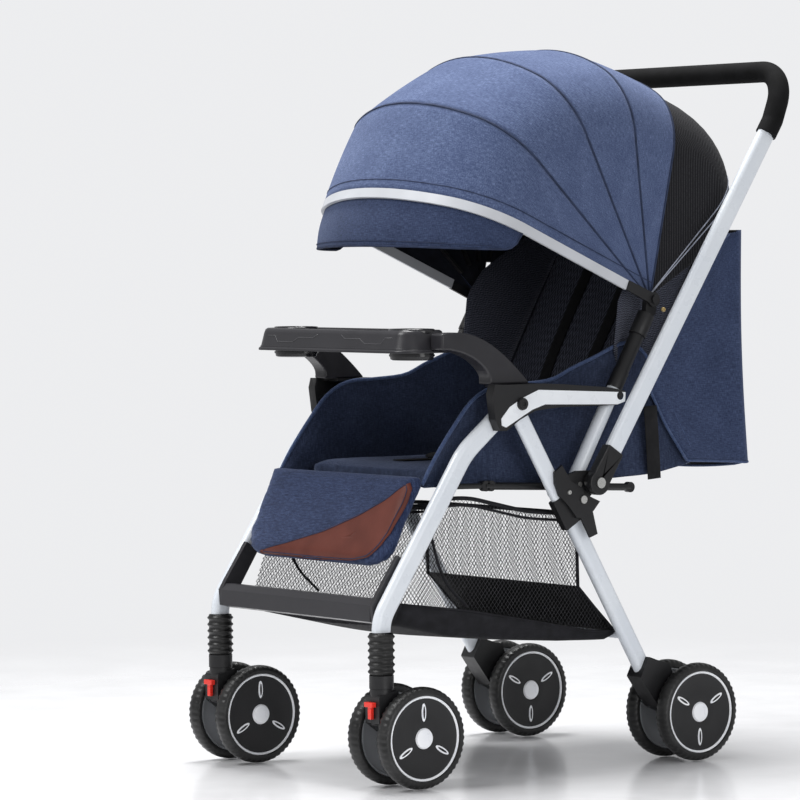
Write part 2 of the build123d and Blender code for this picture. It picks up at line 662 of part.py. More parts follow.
def basket_base():
    side = [(-262, 286.5), (-114, 265), (76, 272), (146, 200), (120, 190), (42, 192), (-111, 205), (-272, 234)]
    floor = [(-258, 236), (-111, 208), (42, 195), (116, 193), (116, 191), (42, 193), (-111, 206), (-258, 234)]
    back = [(77, 270), (144, 201), (121, 191), (119, 193), (141, 201), (75, 269)]
    front = [(-262, 285), (-260, 285), (-268.5, 238), (-270.5, 238)]
    walls = [plate(side, x, x + 1.8) for x in (184.4, -186.2)]
    return [*walls, *[plate(p, -184, 184) for p in (floor, back, front)]]


def front_crossbar():
    arm = [(-300, 241), (-316, 244), (-318, 268), (-308, 284), (-270, 339), (-248, 326), (-284, 270)]
    bar = [(-303, 240), (-317, 244), (-318, 268), (-310, 277), (-299, 277), (-297, 262)]
    ends = plate(arm, 190.0, 197.7)
    return ends + other_side(ends) + plate(bar, -191.0, 191.0)


# ---------------------------------------------------------------- tray
def tray():
    depth = TRAY_Y[1] - TRAY_Y[0]
    middle = (TRAY_Y[0] + TRAY_Y[1]) / 2

    def slab(inset, z0, z1):
        outline = RectangleRounded(2 * (TRAY_HALF - inset), depth - 2 * inset, TRAY_CORNER - inset)
        return extrude(Pos(0, middle, z0) * outline, amount=z1 - z0)

    body = slab(0, *TRAY_Z) - slab(3, TRAY_Z[0] - 1, TRAY_Z[1] - 9)
    body -= slab(7, TRAY_Z[1] - 4, TRAY_Z[1] + 1)
    foot = ARM_TOP[0][1] + 0.4
    arm = [(-205, 640), (-200, 660), (-166, 664), (-134, 655), (-97, 638), (-60, 610), (-37, foot)]
    arm += [(-82, foot), (-97, 602), (-116, 615), (-144, 627), (-172, 634)]
    peg = block(*PEG)
    for side in (1, -1):
        cup = Pos(side * CUP_X, CUP_Y, CUP_BOTTOM)
        floor_up = (Align.CENTER, Align.CENTER, Align.MIN)
        body += cup * Cylinder(CUP_R + 3, TRAY_Z[1] - CUP_BOTTOM + 2, align=floor_up)
        body -= cup * Pos(0, 0, 3) * Cylinder(CUP_R, 60, align=floor_up)
        limb = plate(arm, *TRAY_ARM_X) + peg
        limb += block((170, 198), (-192, -165), (644, 660)) - Pos(CUP_X, CUP_Y, 600) * Cylinder(CUP_R + 1, 200)
        body += limb if side == 1 else other_side(limb)
    return body


# ---------------------------------------------------------------- write every piece
os.makedirs("parts", exist_ok=True)

save_pair("rear_leg_upper_tubes", upper_tube())
save_pair("side_tubes", side_tube())
save_pair("armrest_shells", armrest_shell())
save_pair("armrest_panels", armrest_panel())
save_pair("frame_pivot_pins", *frame_pins())
save_pair("knuckle_brackets", knuckle_bracket())
save_pair("canopy_hinge_brackets", hinge_bracket())
save_each("fold_lock", fold_lock())
save_pair("front_leg_tubes", front_leg_tube())
save("front_crossbar", front_crossbar())
save_pair("seat_rail_rods", seat_rail_rod())
save_pair("seat_rail_sleeves", seat_rail_sleeve())
save_each("bellows", bellows())
save_each("front_post", front_post())
save_each("front_fork", front_fork())
save_each("front_axle", axle(-AXLE_Y))
save_each("swivel_lock", swivel_lock())
save_pair("rear_leg_tubes", rear_leg_tube())
save_pair("rear_leg_sleeves", rear_leg_sleeve())
save_pair("rear_wheel_housings", rear_wheel_housing())
save_pair("rear_axles", axle(AXLE_Y))
save("rear_cross_tube", rear_cross_tube())
save_pair("brake_pedals", brake_pedal())
save_wheels()
save_pair("handle_end_sleeves", bar_sleeve())
save("handle_tube", *push_tubes())
save("handle_grip", round_tube(grip_path(), GRIP_R, BAR_ROD_R + COAT_GAP))
save("canopy_bow", arch_bow(BOW_ANGLE, BOW_RISE, BOW_HALF, BOW_START, BOW_BAND))
save_pair("canopy_bow_ends", bow_end())
for number, (angle, rise) in enumerate(zip(RIB_ANGLES, RIB_RISES), 1):
    save(f"canopy_rib_{number}", arch_bow(angle, rise, RIB_HALF, 58.0, RIB_BAND))
save("canopy_fabric", *canopy_panels())
save("canopy_back_mesh", *back_mesh())
save("canopy_visor", visor())
save("backrest_pad", backrest_pad())
save("back_flap", *back_flap())
save("seat_pad", seat_pad())
save_pair("seat_side_panels", seat_side_panel())
save("leg_rest", leg_rest())
save("harness_webbing", *harness())
save("harness_buckle", buckle())
save_pair("recline_straps", recline_strap())
save("basket_mesh", *basket_mesh())
save("basket_base", *basket_base())
save("tray", tray())
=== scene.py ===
"""Looks of the baby stroller: cloth, padding, nets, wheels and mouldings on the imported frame.

Metres. X is across, Y runs from the front (-) to the back (+), Z is up. Side-view points are (y, z).
"""
from itertools import accumulate
from math import atan2, cos, hypot, pi, radians, sin, sqrt

import bmesh
import bpy
from mathutils import Matrix, Vector
from mathutils.bvhtree import BVHTree


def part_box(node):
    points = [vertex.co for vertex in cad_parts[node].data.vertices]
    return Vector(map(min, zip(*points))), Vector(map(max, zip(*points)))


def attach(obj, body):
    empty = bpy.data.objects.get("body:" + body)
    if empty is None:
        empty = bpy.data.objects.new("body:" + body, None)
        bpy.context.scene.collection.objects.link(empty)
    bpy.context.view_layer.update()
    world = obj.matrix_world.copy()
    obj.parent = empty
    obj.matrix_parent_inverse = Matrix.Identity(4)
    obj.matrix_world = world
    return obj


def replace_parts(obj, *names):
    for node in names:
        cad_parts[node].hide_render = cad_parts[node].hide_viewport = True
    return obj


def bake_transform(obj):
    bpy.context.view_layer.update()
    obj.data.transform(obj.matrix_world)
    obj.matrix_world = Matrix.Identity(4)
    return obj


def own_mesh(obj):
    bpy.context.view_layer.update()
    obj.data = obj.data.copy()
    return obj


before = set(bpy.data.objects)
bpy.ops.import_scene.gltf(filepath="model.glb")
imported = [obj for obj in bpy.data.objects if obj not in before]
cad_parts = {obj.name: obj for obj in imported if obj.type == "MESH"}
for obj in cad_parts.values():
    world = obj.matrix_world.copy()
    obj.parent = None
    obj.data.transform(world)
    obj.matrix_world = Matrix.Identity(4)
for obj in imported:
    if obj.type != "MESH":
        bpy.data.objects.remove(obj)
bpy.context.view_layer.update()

SIDES = (("right", 1), ("left", -1))


# ---- camera, light and floor
def make_camera():
    data = bpy.data.cameras.new("camera")
    camera = bpy.data.objects.new("camera", data)
    bpy.context.scene.collection.objects.link(camera)
    azimuth, pitch, roll = (radians(a) for a in (53.1414, 2.1727, -0.435))
    turn = Matrix.Rotation(azimuth, 4, "Z") @ Matrix.Rotation(radians(90) - pitch, 4, "X")
    camera.matrix_world = Matrix.Translation((5.0801, -3.9248, 0.7981)) @ turn @ Matrix.Rotation(roll, 4, "Z")
    data.sensor_width = 36
    data.lens = 188.17
    data.clip_end = 200
    bpy.context.scene.camera = camera


def area_light(name, place, target, size, power):
    data = bpy.data.lights.new(name, "AREA")
    data.shape = "DISK"
    data.size = size
    data.energy = power
    light = bpy.data.objects.new(name, data)
    bpy.context.scene.collection.objects.link(light)
    light.location = place
    light.rotation_euler = (Vector(target) - Vector(place)).to_track_quat("-Z", "Y").to_euler()


class Nodes:
    """A material being built: its Principled shader, and short names for the nodes used here."""

    def __init__(self, name, colour=(0.5, 0.5, 0.5), rough=0.5, metal=0.0, **sockets):
        self.mat = bpy.data.materials.new(name)
        self.mat.use_nodes = True
        self.tree = self.mat.node_tree
        self.tree.nodes.clear()
        self.out = self.add("ShaderNodeOutputMaterial")
        self.bsdf = self.add("ShaderNodeBsdfPrincipled")
        self.tree.links.new(self.bsdf.outputs[0], self.out.inputs[0])
        self.set(Base_Color=(*colour, 1), Roughness=rough, Metallic=metal, **sockets)

    def wire(self, socket, value):
        """Link a socket to another one, or give it a plain value."""
        if isinstance(value, bpy.types.NodeSocket):
            self.tree.links.new(value, socket)
        else:
            socket.default_value = value

    def set(self, **sockets):
        for key, value in sockets.items():
            self.wire(self.bsdf.inputs[key.replace("_", " ")], value)
        return self

    def add(self, kind, *inputs, **props):
        node = self.tree.nodes.new(kind)
        for key, value in props.items():
            setattr(node, key, value)
        for key, value in inputs:
            self.wire(node.inputs[key], value)
        return node

    def coords(self, kind="Object", scale=(1, 1, 1), turn=0.0):
        source = self.add("ShaderNodeTexCoord").outputs[kind]
        steps = (("Vector", source), ("Scale", scale), ("Rotation", (0, 0, radians(turn))))
        return self.add("ShaderNodeMapping", *steps).outputs[0]

    def noise(self, vector, scale, detail=3.0):
        steps = (("Vector", vector), ("Scale", scale), ("Detail", detail))
        return self.add("ShaderNodeTexNoise", *steps).outputs[0]

    def wave(self, vector, period, direction="X"):
        """Soft stripes that repeat every period metres."""
        steps = (("Vector", vector), ("Scale", pi / (10 * period)))
        return self.add("ShaderNodeTexWave", *steps, bands_direction=direction).outputs["Fac"]

    def ramp(self, fac, *stops, hard=False):
        node = self.add("ShaderNodeValToRGB", (0, fac))
        node.color_ramp.interpolation = "CONSTANT" if hard else "LINEAR"
        while len(node.color_ramp.elements) < len(stops):
            node.color_ramp.elements.new(0.5)
        for element, (place, colour) in zip(node.color_ramp.elements, stops):
            element.position = place
            element.color = (*colour, 1)
        return node.outputs[0]

    def math(self, operation, a, b):
        return self.add("ShaderNodeMath", (0, a), (1, b), operation=operation).outputs[0]

    def mix(self, fac, a, b):
        """Mix two colours or colour sockets."""
        a, b = ((*c, 1) if isinstance(c, tuple) else c for c in (a, b))
        return self.add("ShaderNodeMix", ("Factor", fac), (6, a), (7, b), data_type="RGBA").outputs[2]

    def drift(self, socket, where, scale, detail, low, high, spread=(0.3, 0.7)):
        """Let a socket drift between two tones or numbers, in patches of the given fineness."""
        stops = [(place, v if isinstance(v, tuple) else grey(v)) for place, v in zip(spread, (low, high))]
        return self.set(**{socket: self.ramp(self.noise(where, scale, detail), *stops)})

    def bump(self, height, strength, distance):
        steps = (("Height", height), ("Strength", strength), ("Distance", distance))
        self.tree.links.new(self.add("ShaderNodeBump", *steps).outputs[0], self.bsdf.inputs["Normal"])
        return self


def grey(value):
    return (value, value, value)


def plastic(name, colour, rough, **sockets):
    """Moulded plastic: fine spark-eroded grain, and a slow drift of tone and gloss."""
    n = Nodes(name, colour, rough, **sockets)
    where = n.coords()
    light = tuple(min(1, c * 1.25 + 0.0015) for c in colour)
    n.set(Base_Color=n.mix(n.ramp(n.noise(where, 14, 2), (0.35, grey(0)), (0.75, grey(0.6))), colour, light))
    n.drift("Roughness", where, 60, 4, rough - 0.06, rough + 0.08)
    return n.bump(n.noise(where, 1429, 2), 0.12, 0.0002).mat


def paint():
    n = Nodes("frame_paint", (0.7, 0.74, 0.79), 0.3, Coat_Weight=0.35, Coat_Roughness=0.12)
    where = n.coords()
    n.drift("Base_Color", where, 9, 3, (0.66, 0.70, 0.755), (0.74, 0.775, 0.815))
    n.drift("Roughness", where, 45, 3, 0.24, 0.38, (0.3, 0.75))
    return n.bump(n.noise(where, 420, 2), 0.05, 0.0003).mat


def metal(name, colour, rough):
    n = Nodes(name, colour, rough, 1.0)
    where = n.coords(scale=(1, 1, 12))
    n.drift("Roughness", where, 160, 4, rough - 0.08, rough + 0.12)
    return n.bump(n.noise(where, 500, 3), 0.08, 0.0002).mat


def cells(n, where, scale):
    return n.add("ShaderNodeTexVoronoi", ("Vector", where), ("Scale", scale)).outputs["Distance"]


def foam():
    n = Nodes("grip_foam", (0.012, 0.012, 0.013), 0.85, Specular_IOR_Level=0.1)
    where = n.coords()
    n.drift("Base_Color", where, 30, 5, 0.006, (0.012, 0.012, 0.013), (0.3, 0.75))
    return n.bump(cells(n, where, 900), 0.25, 0.0004).mat


def rubber(name, tone, rough):
    n = Nodes(name, grey(tone), rough, Specular_IOR_Level=0.35)
    where = n.coords()
    n.drift("Base_Color", where, 40, 5, tone * 0.8, tone * 2.2, (0.35, 0.8))
    n.drift("Roughness", where, 90, 4, rough - 0.12, rough + 0.1)
    return n.bump(n.noise(where, 700, 3), 0.15, 0.0003).mat


def melange(name, dark, mid, light, space="UV"):
    """Woven cloth of two-tone yarn: short streaks along both threads, over a plain weave."""
    n = Nodes(name, mid, 0.85, Sheen_Weight=0.25, Sheen_Roughness=0.45, Specular_IOR_Level=0.15)
    n.set(Sheen_Tint=(0.6, 0.7, 1.0, 1))
    warp = n.noise(n.coords(space, (1, 0.16, 1)), 950, 2)
    weft = n.noise(n.coords(space, (0.12, 1, 1 if space == "UV" else 0.12)), 850, 2)
    both = n.math("MULTIPLY", n.math("ADD", warp, weft), 0.5)
    cloud = n.noise(n.coords(space), 22, 3)
    mixed = n.math("ADD", n.math("MULTIPLY", both, 0.85), n.math("MULTIPLY", cloud, 0.15))
    n.set(Base_Color=n.ramp(mixed, (0.36, dark), (0.5, mid), (0.66, light)))
    threads = n.math("ADD", n.wave(n.coords(space), 0.0011), n.wave(n.coords(space), 0.0011, "Y"))
    height = n.math("ADD", threads, n.math("MULTIPLY", both, 1.6))
    return n.bump(height, 0.35, 0.0004).mat


def herringbone(name, dark, light, space="Object", period=0.0042):
    """Open knit with ribs that lean left and right in turn."""
    n = Nodes(name, dark, 0.8, Sheen_Weight=0.04, Specular_IOR_Level=0.2)
    turned = [n.wave(n.coords(space, turn=angle), period) for angle in (38, -38)]
    column = n.ramp(n.wave(n.coords(space), period * 4), (0, grey(0)), (0.5, grey(1)), hard=True)
    ribs = n.mix(column, turned[0], turned[1])
    specks = n.noise(n.coords(space), 700, 2)
    mixed = n.math("MULTIPLY", n.add("ShaderNodeRGBToBW", (0, ribs)).outputs[0], specks)
    n.set(Base_Color=n.ramp(mixed, (0.22, dark), (0.5, light)))
    return n.bump(mixed, 0.6, 0.0009).mat


def plain_cloth(name, tone, rough=0.75):
    n = Nodes(name, tone, rough, Sheen_Weight=0.02, Specular_IOR_Level=0.15)
    where = n.coords()
    n.drift("Base_Color", where, 60, 5, tone, tuple(c * 1.9 for c in tone), (0.35, 0.8))
    threads = n.math("ADD", n.wave(where, 0.0012), n.wave(where, 0.0012, "Z"))
    return n.bump(n.math("ADD", threads, n.noise(where, 25, 3)), 0.3, 0.0006).mat


def leather():
    n = Nodes("leather", (0.10, 0.032, 0.022), 0.50, Specular_IOR_Level=0.25)
    where = n.coords()
    n.drift("Base_Color", where, 18, 4, (0.092, 0.021, 0.013), (0.138, 0.035, 0.023), (0.3, 0.75))
    return n.bump(n.math("ADD", cells(n, where, 650), n.noise(where, 120, 3)), 0.28, 0.0005).mat


def floor_material():
    """Pale glossy floor that fades into the backdrop's colour away from the object."""
    n = Nodes("floor", (0.91, 0.91, 0.925), 0.16)
    where = n.coords()
    n.drift("Roughness", where, 6, 4, 0.12, 0.22)
    far = n.add("ShaderNodeVectorMath", (0, where), operation="LENGTH").outputs["Value"]
    clear = n.add("ShaderNodeBsdfTransparent")
    fade = n.add("ShaderNodeMapRange", ("Value", far), ("From Min", 0.7), ("From Max", 2.1))
    join = n.add("ShaderNodeMixShader", (0, fade.outputs[0]), (1, n.bsdf.outputs[0]), (2, clear.outputs[0]))
    n.tree.links.new(join.outputs[0], n.out.inputs[0])
    return n.mat


WORLD_LIGHT = 0.58  # how bright the surroundings light the object, beside how bright they look


def make_studio():
    world = bpy.data.worlds.new("studio")
    bpy.context.scene.world = world
    world.use_nodes = True
    background = world.node_tree.nodes["Background"]
    background.inputs[0].default_value = (0.845, 0.85, 0.865, 1)
    nodes, links = world.node_tree.nodes, world.node_tree.links
    seen = nodes.new("ShaderNodeLightPath")
    strength = nodes.new("ShaderNodeMapRange")
    strength.inputs["To Min"].default_value = WORLD_LIGHT
    links.new(seen.outputs["Is Camera Ray"], strength.inputs["Value"])
    links.new(strength.outputs[0], background.inputs[1])
    area_light("key", (-0.8, -3.0, 4.0), (0, 0, 0.6), 2.0, 112)
    area_light("top", (-0.8, 0.4, 4.2), (0, 0, 0.6), 2.0, 178)
    area_light("rim", (4.4, -0.4, 1.2), (0, 0.1, 0.5), 2.6, 45)
    mesh = bpy.data.meshes.new("floor")
    bm = bmesh.new()
    bmesh.ops.create_circle(bm, cap_ends=True, radius=2.2, segments=96)
    bm.to_mesh(mesh)
    floor = bpy.data.objects.new("floor", mesh)
    bpy.context.scene.collection.objects.link(floor)
    floor.location.z = -0.0006
    mesh.materials.append(floor_material())
    bpy.context.scene.view_settings.view_transform = "Standard"


make_camera()
make_studio()

BLACK = plastic("black_plastic", (0.010, 0.010, 0.011), 0.42, Specular_IOR_Level=0.35)
CHARCOAL = plastic("tray_plastic", (0.020, 0.0195, 0.023), 0.34, Specular_IOR_Level=0.4)
GLOSS = plastic("gloss_black", (0.012, 0.012, 0.014), 0.16)
WHITE = plastic("white_plastic", (0.76, 0.785, 0.82), 0.3)
# a darker copy of the frame's white for the canopy bow: painted shade, so the bow's lit upper face does not
# glare
BOW_SHADED_WHITE = plastic("bow_white_shaded", (0.50, 0.515, 0.545), 0.36, Specular_IOR_Level=0.35)
RED = plastic("red_plastic", (0.72, 0.030, 0.018), 0.28)
SILVER = plastic("silver_plastic", (0.84, 0.86, 0.90), 0.3)
# lighter than the tray plastic: painted highlight along the edge of the groove on the tray's front face
TRAY_GROOVE_HIGHLIGHT = plastic("tray_line", (0.06, 0.06, 0.065), 0.4)
GREY_RIM = plastic("grey_rim", (0.26, 0.27, 0.285), 0.35)
PAINT = paint()
ZINC = metal("zinc", (0.62, 0.62, 0.60), 0.3)
BRASS = metal("brass", (0.62, 0.47, 0.22), 0.3)
FOAM = foam()
BELLOWS = rubber("bellows_rubber", 0.008, 0.42)
TYRE = rubber("tyre_rubber", 0.012, 0.40)
HOOD = melange("hood_cloth", (0.036, 0.053, 0.118), (0.070, 0.097, 0.192), (0.160, 0.208, 0.345))
NAVY = melange("navy_cloth", (0.014, 0.022, 0.050), (0.030, 0.044, 0.096), (0.062, 0.086, 0.164))
NAVY_PAD = melange("navy_pad", (0.010, 0.016, 0.040), (0.021, 0.032, 0.078), (0.048, 0.070, 0.145), "Object")
LINING = melange("navy_lining", (0.011, 0.016, 0.034), (0.021, 0.030, 0.062), (0.046, 0.062, 0.114), "Object")
INSIDE = plain_cloth("hood_lining", (0.006, 0.007, 0.011))
PIPING = melange("piping_cloth", (0.026, 0.040, 0.090), (0.048, 0.072, 0.150), (0.085, 0.12, 0.22), "Object")
SEAM = plain_cloth("seam_tape", (0.020, 0.028, 0.058))
MESH = herringbone("seat_mesh", (0.020, 0.022, 0.033), (0.115, 0.125, 0.170))
WING = herringbone("wing_mesh", (0.020, 0.022, 0.033), (0.130, 0.140, 0.185), "UV", 0.0024)
REAR_NET = herringbone("rear_net", (0.006, 0.006, 0.008), (0.030, 0.030, 0.034), period=0.003)
BLACK_CLOTH = plain_cloth("black_cloth", (0.010, 0.010, 0.012))
DENSE = herringbone("dense_net", (0.005, 0.005, 0.006), (0.020, 0.020, 0.022), period=0.003)
WEB = plain_cloth("webbing", (0.008, 0.008, 0.009))
STRAND = plain_cloth("net_strand", (0.030, 0.030, 0.033), 0.6)
LEATHER = leather()
STITCH = plain_cloth("stitching", (0.30, 0.32, 0.38))


# ---- mesh helpers
def spline(points, count):
    """Evenly spaced points on a smooth curve through the given ones."""
    points = [Vector(p) for p in points]
    points = [2 * points[0] - points[1], *points, 2 * points[-1] - points[-2]]
    fine = []
    for a, b, c, d in zip(points, points[1:], points[2:], points[3:]):
        for t in shares(12)[:-1]:
            fine.append(0.5 * (2 * b + (c - a) * t + (2 * a - 5 * b + 4 * c - d) * t * t
                               + (3 * b - a - 3 * c + d) * t ** 3))
    fine.append(points[-2])
    return spaced(fine, count)


def shares(steps):
    """The shares 0, 1/steps, 2/steps and so on up to 1."""
    return [i / steps for i in range(steps + 1)]


def length_of(line):
    return sum((a - b).length for a, b in zip(line, line[1:]))


def reaches(line):
    """How far along the line each of its points lies."""
    return [0.0, *accumulate((a - b).length for a, b in zip(line, line[1:]))]


def spaced(points, count):
    """The same line, cut into evenly spaced points."""
    points = [Vector(p) for p in points]
    reach = reaches(points)
    out, k = [], 0
    for i in range(count):
        at = reach[-1] * i / (count - 1)
        while k < len(points) - 2 and reach[k + 1] < at:
            k += 1
        gap = reach[k + 1] - reach[k]
        out.append(points[k].lerp(points[k + 1], (at - reach[k]) / gap if gap else 0))
    return out


def rounded(outline, radius, steps=4):
    """An outline of the side view with its corners rounded."""
    out = []
    count = len(outline)
    for i, corner in enumerate(outline):
        c = Vector(corner)
        a, b = Vector(outline[i - 1]) - c, Vector(outline[(i + 1) % count]) - c
        reach = min(radius, a.length * 0.45, b.length * 0.45)
        first, last = c + a.normalized() * reach, c + b.normalized() * reach
        for t in shares(steps):
            out.append(tuple(first * (1 - t) ** 2 + c * 2 * t * (1 - t) + last * t * t))
    return out


def metres(*points):
    """Points or (along, radius) pairs written in millimetres."""
    return [(a / 1000, b / 1000) for a, b in points]


def side_point(x, point):
    return Vector((x, point[0], point[1]))


class Shape:
    """A mesh put together from grids, with UVs in metres."""

    def __init__(self):
        self.bm = bmesh.new()
        self.uv = self.bm.loops.layers.uv.new("UVMap")

    def grid(self, rows, wrap_rows=False, wrap_columns=False, part=0):
        rows = [[Vector(p) for p in row] for row in rows]
        verts = [[self.bm.verts.new(p) for p in row] for row in rows]
        high, wide = len(rows), len(rows[0])
        u = reaches([*rows[high // 2], rows[high // 2][0]])
        v = reaches([row[wide // 2] for row in (*rows, rows[0])])
        for i in range(high if wrap_rows else high - 1):
            for j in range(wide if wrap_columns else wide - 1):
                k, m = (i + 1) % high, (j + 1) % wide
                quad = [verts[i][j], verts[i][m], verts[k][m], verts[k][j]]
                if len(set(quad)) < 4:
                    continue
                face = self.bm.faces.new(quad)
                face.material_index = part
                for loop, (a, b) in zip(face.loops, ((j, i), (j + 1, i), (j + 1, i + 1), (j, i + 1))):
                    loop[self.uv].uv = u[a], v[b]
        return verts

    def cap(self, ring, part=0):
        face = self.bm.faces.new(ring)
        face.material_index = part

    def sweep(self, points, section, up, closed=False):
        """Carry a closed section (side, up) along a line; up may be one vector or one for each point."""
        points = [Vector(p) for p in points]
        count = len(points)
        ups = [Vector(u) for u in up] if isinstance(up, list) else [Vector(up)] * count
        rows = []
        for i, p in enumerate(points):
            ahead = points[(i + 1) % count] if closed or i < count - 1 else p
            behind = points[i - 1] if closed or i else p
            along = (ahead - behind).normalized()
            side = along.cross(ups[i]).normalized()
            lift = side.cross(along)
            rows.append([p + side * a + lift * b for a, b in section])
        verts = self.grid(rows, wrap_rows=closed, wrap_columns=True)
        if not closed:
            self.cap(verts[0][::-1])
            self.cap(verts[-1])

    def lathe(self, profile, centre, axis=(1, 0, 0), steps=48, part=0, closed=False, grip=None):
        """Turn (along, radius) pairs about an axis; grip may change the radius with the turn."""
        axis = Vector(axis).normalized()
        first = axis.orthogonal().normalized()
        second = axis.cross(first)
        centre = Vector(centre)
        rows = []
        for i in range(steps):
            angle = 2 * pi * i / steps
            out = first * cos(angle) + second * sin(angle)
            rows.append([centre + axis * a + out * (r - (grip(i, a, r) if grip else 0)) for a, r in profile])
        self.grid(rows, wrap_rows=True, wrap_columns=closed, part=part)

    def prism(self, low, high):
        """A closed block between two outlines."""
        low, high = ([self.bm.verts.new(p) for p in ring] for ring in (low, high))
        self.cap(low[::-1])
        self.cap(high)
        for a in range(len(low)):
            b = (a + 1) % len(low)
            self.cap([low[a], low[b], high[b], high[a]])

    def mirror(self):
        geometry = self.bm.verts[:] + self.bm.edges[:] + self.bm.faces[:]
        copy = bmesh.ops.duplicate(self.bm, geom=geometry)["geom"]
        verts = [g for g in copy if isinstance(g, bmesh.types.BMVert)]
        faces = [g for g in copy if isinstance(g, bmesh.types.BMFace)]
        for v in verts:
            v.co.x = -v.co.x
        bmesh.ops.reverse_faces(self.bm, faces=faces)

    def mesh(self, name, *materials, sharp=None):
        mesh = bpy.data.meshes.new(name)
        self.bm.to_mesh(mesh)
        self.bm.free()
        for material in materials:
            mesh.materials.append(material)
        mesh.shade_smooth()
        if sharp:
            mesh.set_sharp_from_angle(angle=radians(sharp))
        return mesh

    def face_outward(self):
        bmesh.ops.recalc_face_normals(self.bm, faces=self.bm.faces[:])

    def piece(self, name, body, slot, *materials, mirror=False, sharp=None, outward=True):
        if mirror:
            self.mirror()
        if outward:
            self.face_outward()
        return put(name, self.mesh(name, *materials, sharp=sharp), body, slot)


def put(name, mesh, body, slot, place=None):
    piece = bpy.data.objects.new(name, mesh)
    bpy.context.scene.collection.objects.link(piece)
    if place:
        piece.matrix_world = place
    if body:
        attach(piece, body)
    return piece


def trim(name, body, slot, material, section, up, line, closed=False):
    """Piping, tape, webbing or stitching: a section carried along a line."""
    shape = Shape()
    shape.sweep(line, section, up=up, closed=closed)
    return shape.piece(name, body, slot, material)


def modify(piece, kind, **settings):
    modifier = piece.modifiers.new(kind.lower(), kind)
    for key, value in settings.items():
        setattr(modifier, key, value)
    return modifier


def thicken(piece, thickness, inside=0, offset=0.0):
    modify(piece, "SOLIDIFY", thickness=thickness, offset=offset, material_offset=inside)


def cloth(name, body, slot, rows, thickness, *materials):
    """A sheet of cloth over rows of points; a second material is its inside."""
    shape = Shape()
    shape.grid(rows)
    piece = shape.piece(name, body, slot, *materials, outward=False)
    thicken(piece, thickness, inside=len(materials) - 1)
    return piece


def bevelled(piece, width, segments=3):
    modify(piece, "BEVEL", width=width, segments=segments, limit_method="ANGLE", angle_limit=radians(38))


def circle(radius, sides=8, flat=1.0):
    angles = [2 * pi * i / sides for i in range(sides)]
    return [(radius * cos(a), radius * flat * sin(a)) for a in angles]


def strap(width, thickness):
    w, t = width / 2, thickness / 2
    return [(-w, -t * 0.4), (-w * 0.94, -t), (w * 0.94, -t), (w, -t * 0.4), (w, t * 0.4), (w * 0.94, t),
            (-w * 0.94, t), (-w, t * 0.4)]


def slope_frame(degrees):
    """The two directions of a slanted board in the side view: down along it, and out of its face."""
    a = radians(degrees)
    return Vector((0, cos(a), sin(a))), Vector((0, sin(a), -cos(a)))


def baked(piece):
    """Replace a piece's mesh with its modified one."""
    mesh = bpy.data.meshes.new_from_object(piece.evaluated_get(bpy.context.evaluated_depsgraph_get()))
    piece.modifiers.clear()
    piece.data = mesh


def swell(piece, cap, voxel=0.006):
    """Fill a pad: remesh it, blow it up as cloth, and hold each point within cap of where it began."""
    modify(piece, "REMESH", mode="VOXEL", voxel_size=voxel)
    bpy.context.view_layer.update()
    baked(piece)
    start = [v.co.copy() for v in piece.data.vertices]
    cloth = piece.modifiers.new("cloth", "CLOTH").settings
    cloth.use_pressure = True
    cloth.uniform_pressure_force = 4.0
    cloth.effector_weights.gravity = 0
    for number in range(1, 21):
        bpy.context.scene.frame_set(number)
    baked(piece)
    for vertex, was in zip(piece.data.vertices, start):
        move = vertex.co - was
        if move.length > cap:
            vertex.co = was + move.normalized() * cap
    bpy.context.scene.frame_set(1)
    modify(piece, "SMOOTH", factor=0.5, iterations=4)
    baked(piece)
    piece.data.shade_smooth()


def surface_of(pad):
    """A function that drops a point onto a pad, along a direction, and lifts it off a little."""
    bpy.context.view_layer.update()
    tree = BVHTree.FromObject(pad, bpy.context.evaluated_depsgraph_get())

    def drop(point, towards, lift):
        towards = Vector(towards).normalized()
        hit = tree.ray_cast(Vector(point) - towards * 0.08, towards)[0]
        return hit - towards * lift if hit else Vector(point)

    return drop


def paint_nodes(material, *names):
    for name in names:
        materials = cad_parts[name].data.materials
        for i in range(len(materials)):
            materials[i] = material


# ---- CAD pieces that stay
def finish_cad_pieces():
    paint_nodes(PAINT, "rear_leg_upper_tubes", "side_tubes", "front_leg_tubes", "rear_leg_tubes",
                "handle_tube", "rear_cross_tube")
    # the white bow takes a darker copy of its white, as painted shade on its lit top
    paint_nodes(BOW_SHADED_WHITE, "canopy_bow")
    paint_nodes(BLACK, "knuckle_brackets", "canopy_hinge_brackets", "front_post_left", "front_post_right",
                "front_fork_left", "front_fork_right", "rear_wheel_housings", "handle_end_sleeves",
                "rear_leg_sleeves", "canopy_bow_ends", "brake_pedals",
                *(f"canopy_rib_{k}" for k in range(1, 5)))
    paint_nodes(ZINC, "frame_pivot_pins", "front_axle_left", "front_axle_right", "rear_axles")
    paint_nodes(BLACK, "armrest_shells", "fold_lock_left", "fold_lock_right", "harness_buckle")
    paint_nodes(CHARCOAL, "front_crossbar")
    paint_nodes(WHITE, "armrest_panels")
    paint_nodes(RED, "swivel_lock_left", "swivel_lock_right")
    paint_nodes(FOAM, "handle_grip")


finish_cad_pieces()

# ---- hood
HINGE = (0.203, 0.707)
CORNER_SHARE, CROWN_SHARE = 0.53, 1.6
BOW = (156.5, 0.412, 0.2165)
RIBS = [(135.9, 0.426, 0.204), (116.2, 0.409, 0.204), (96.1, 0.382, 0.204), (77.7, 0.352, 0.204)]
RIB_LIFT = 0.0057  # the cloth's middle lies this far outside a rib's middle
HOOD_START = 0.013
BAND_HALF = 0.0075


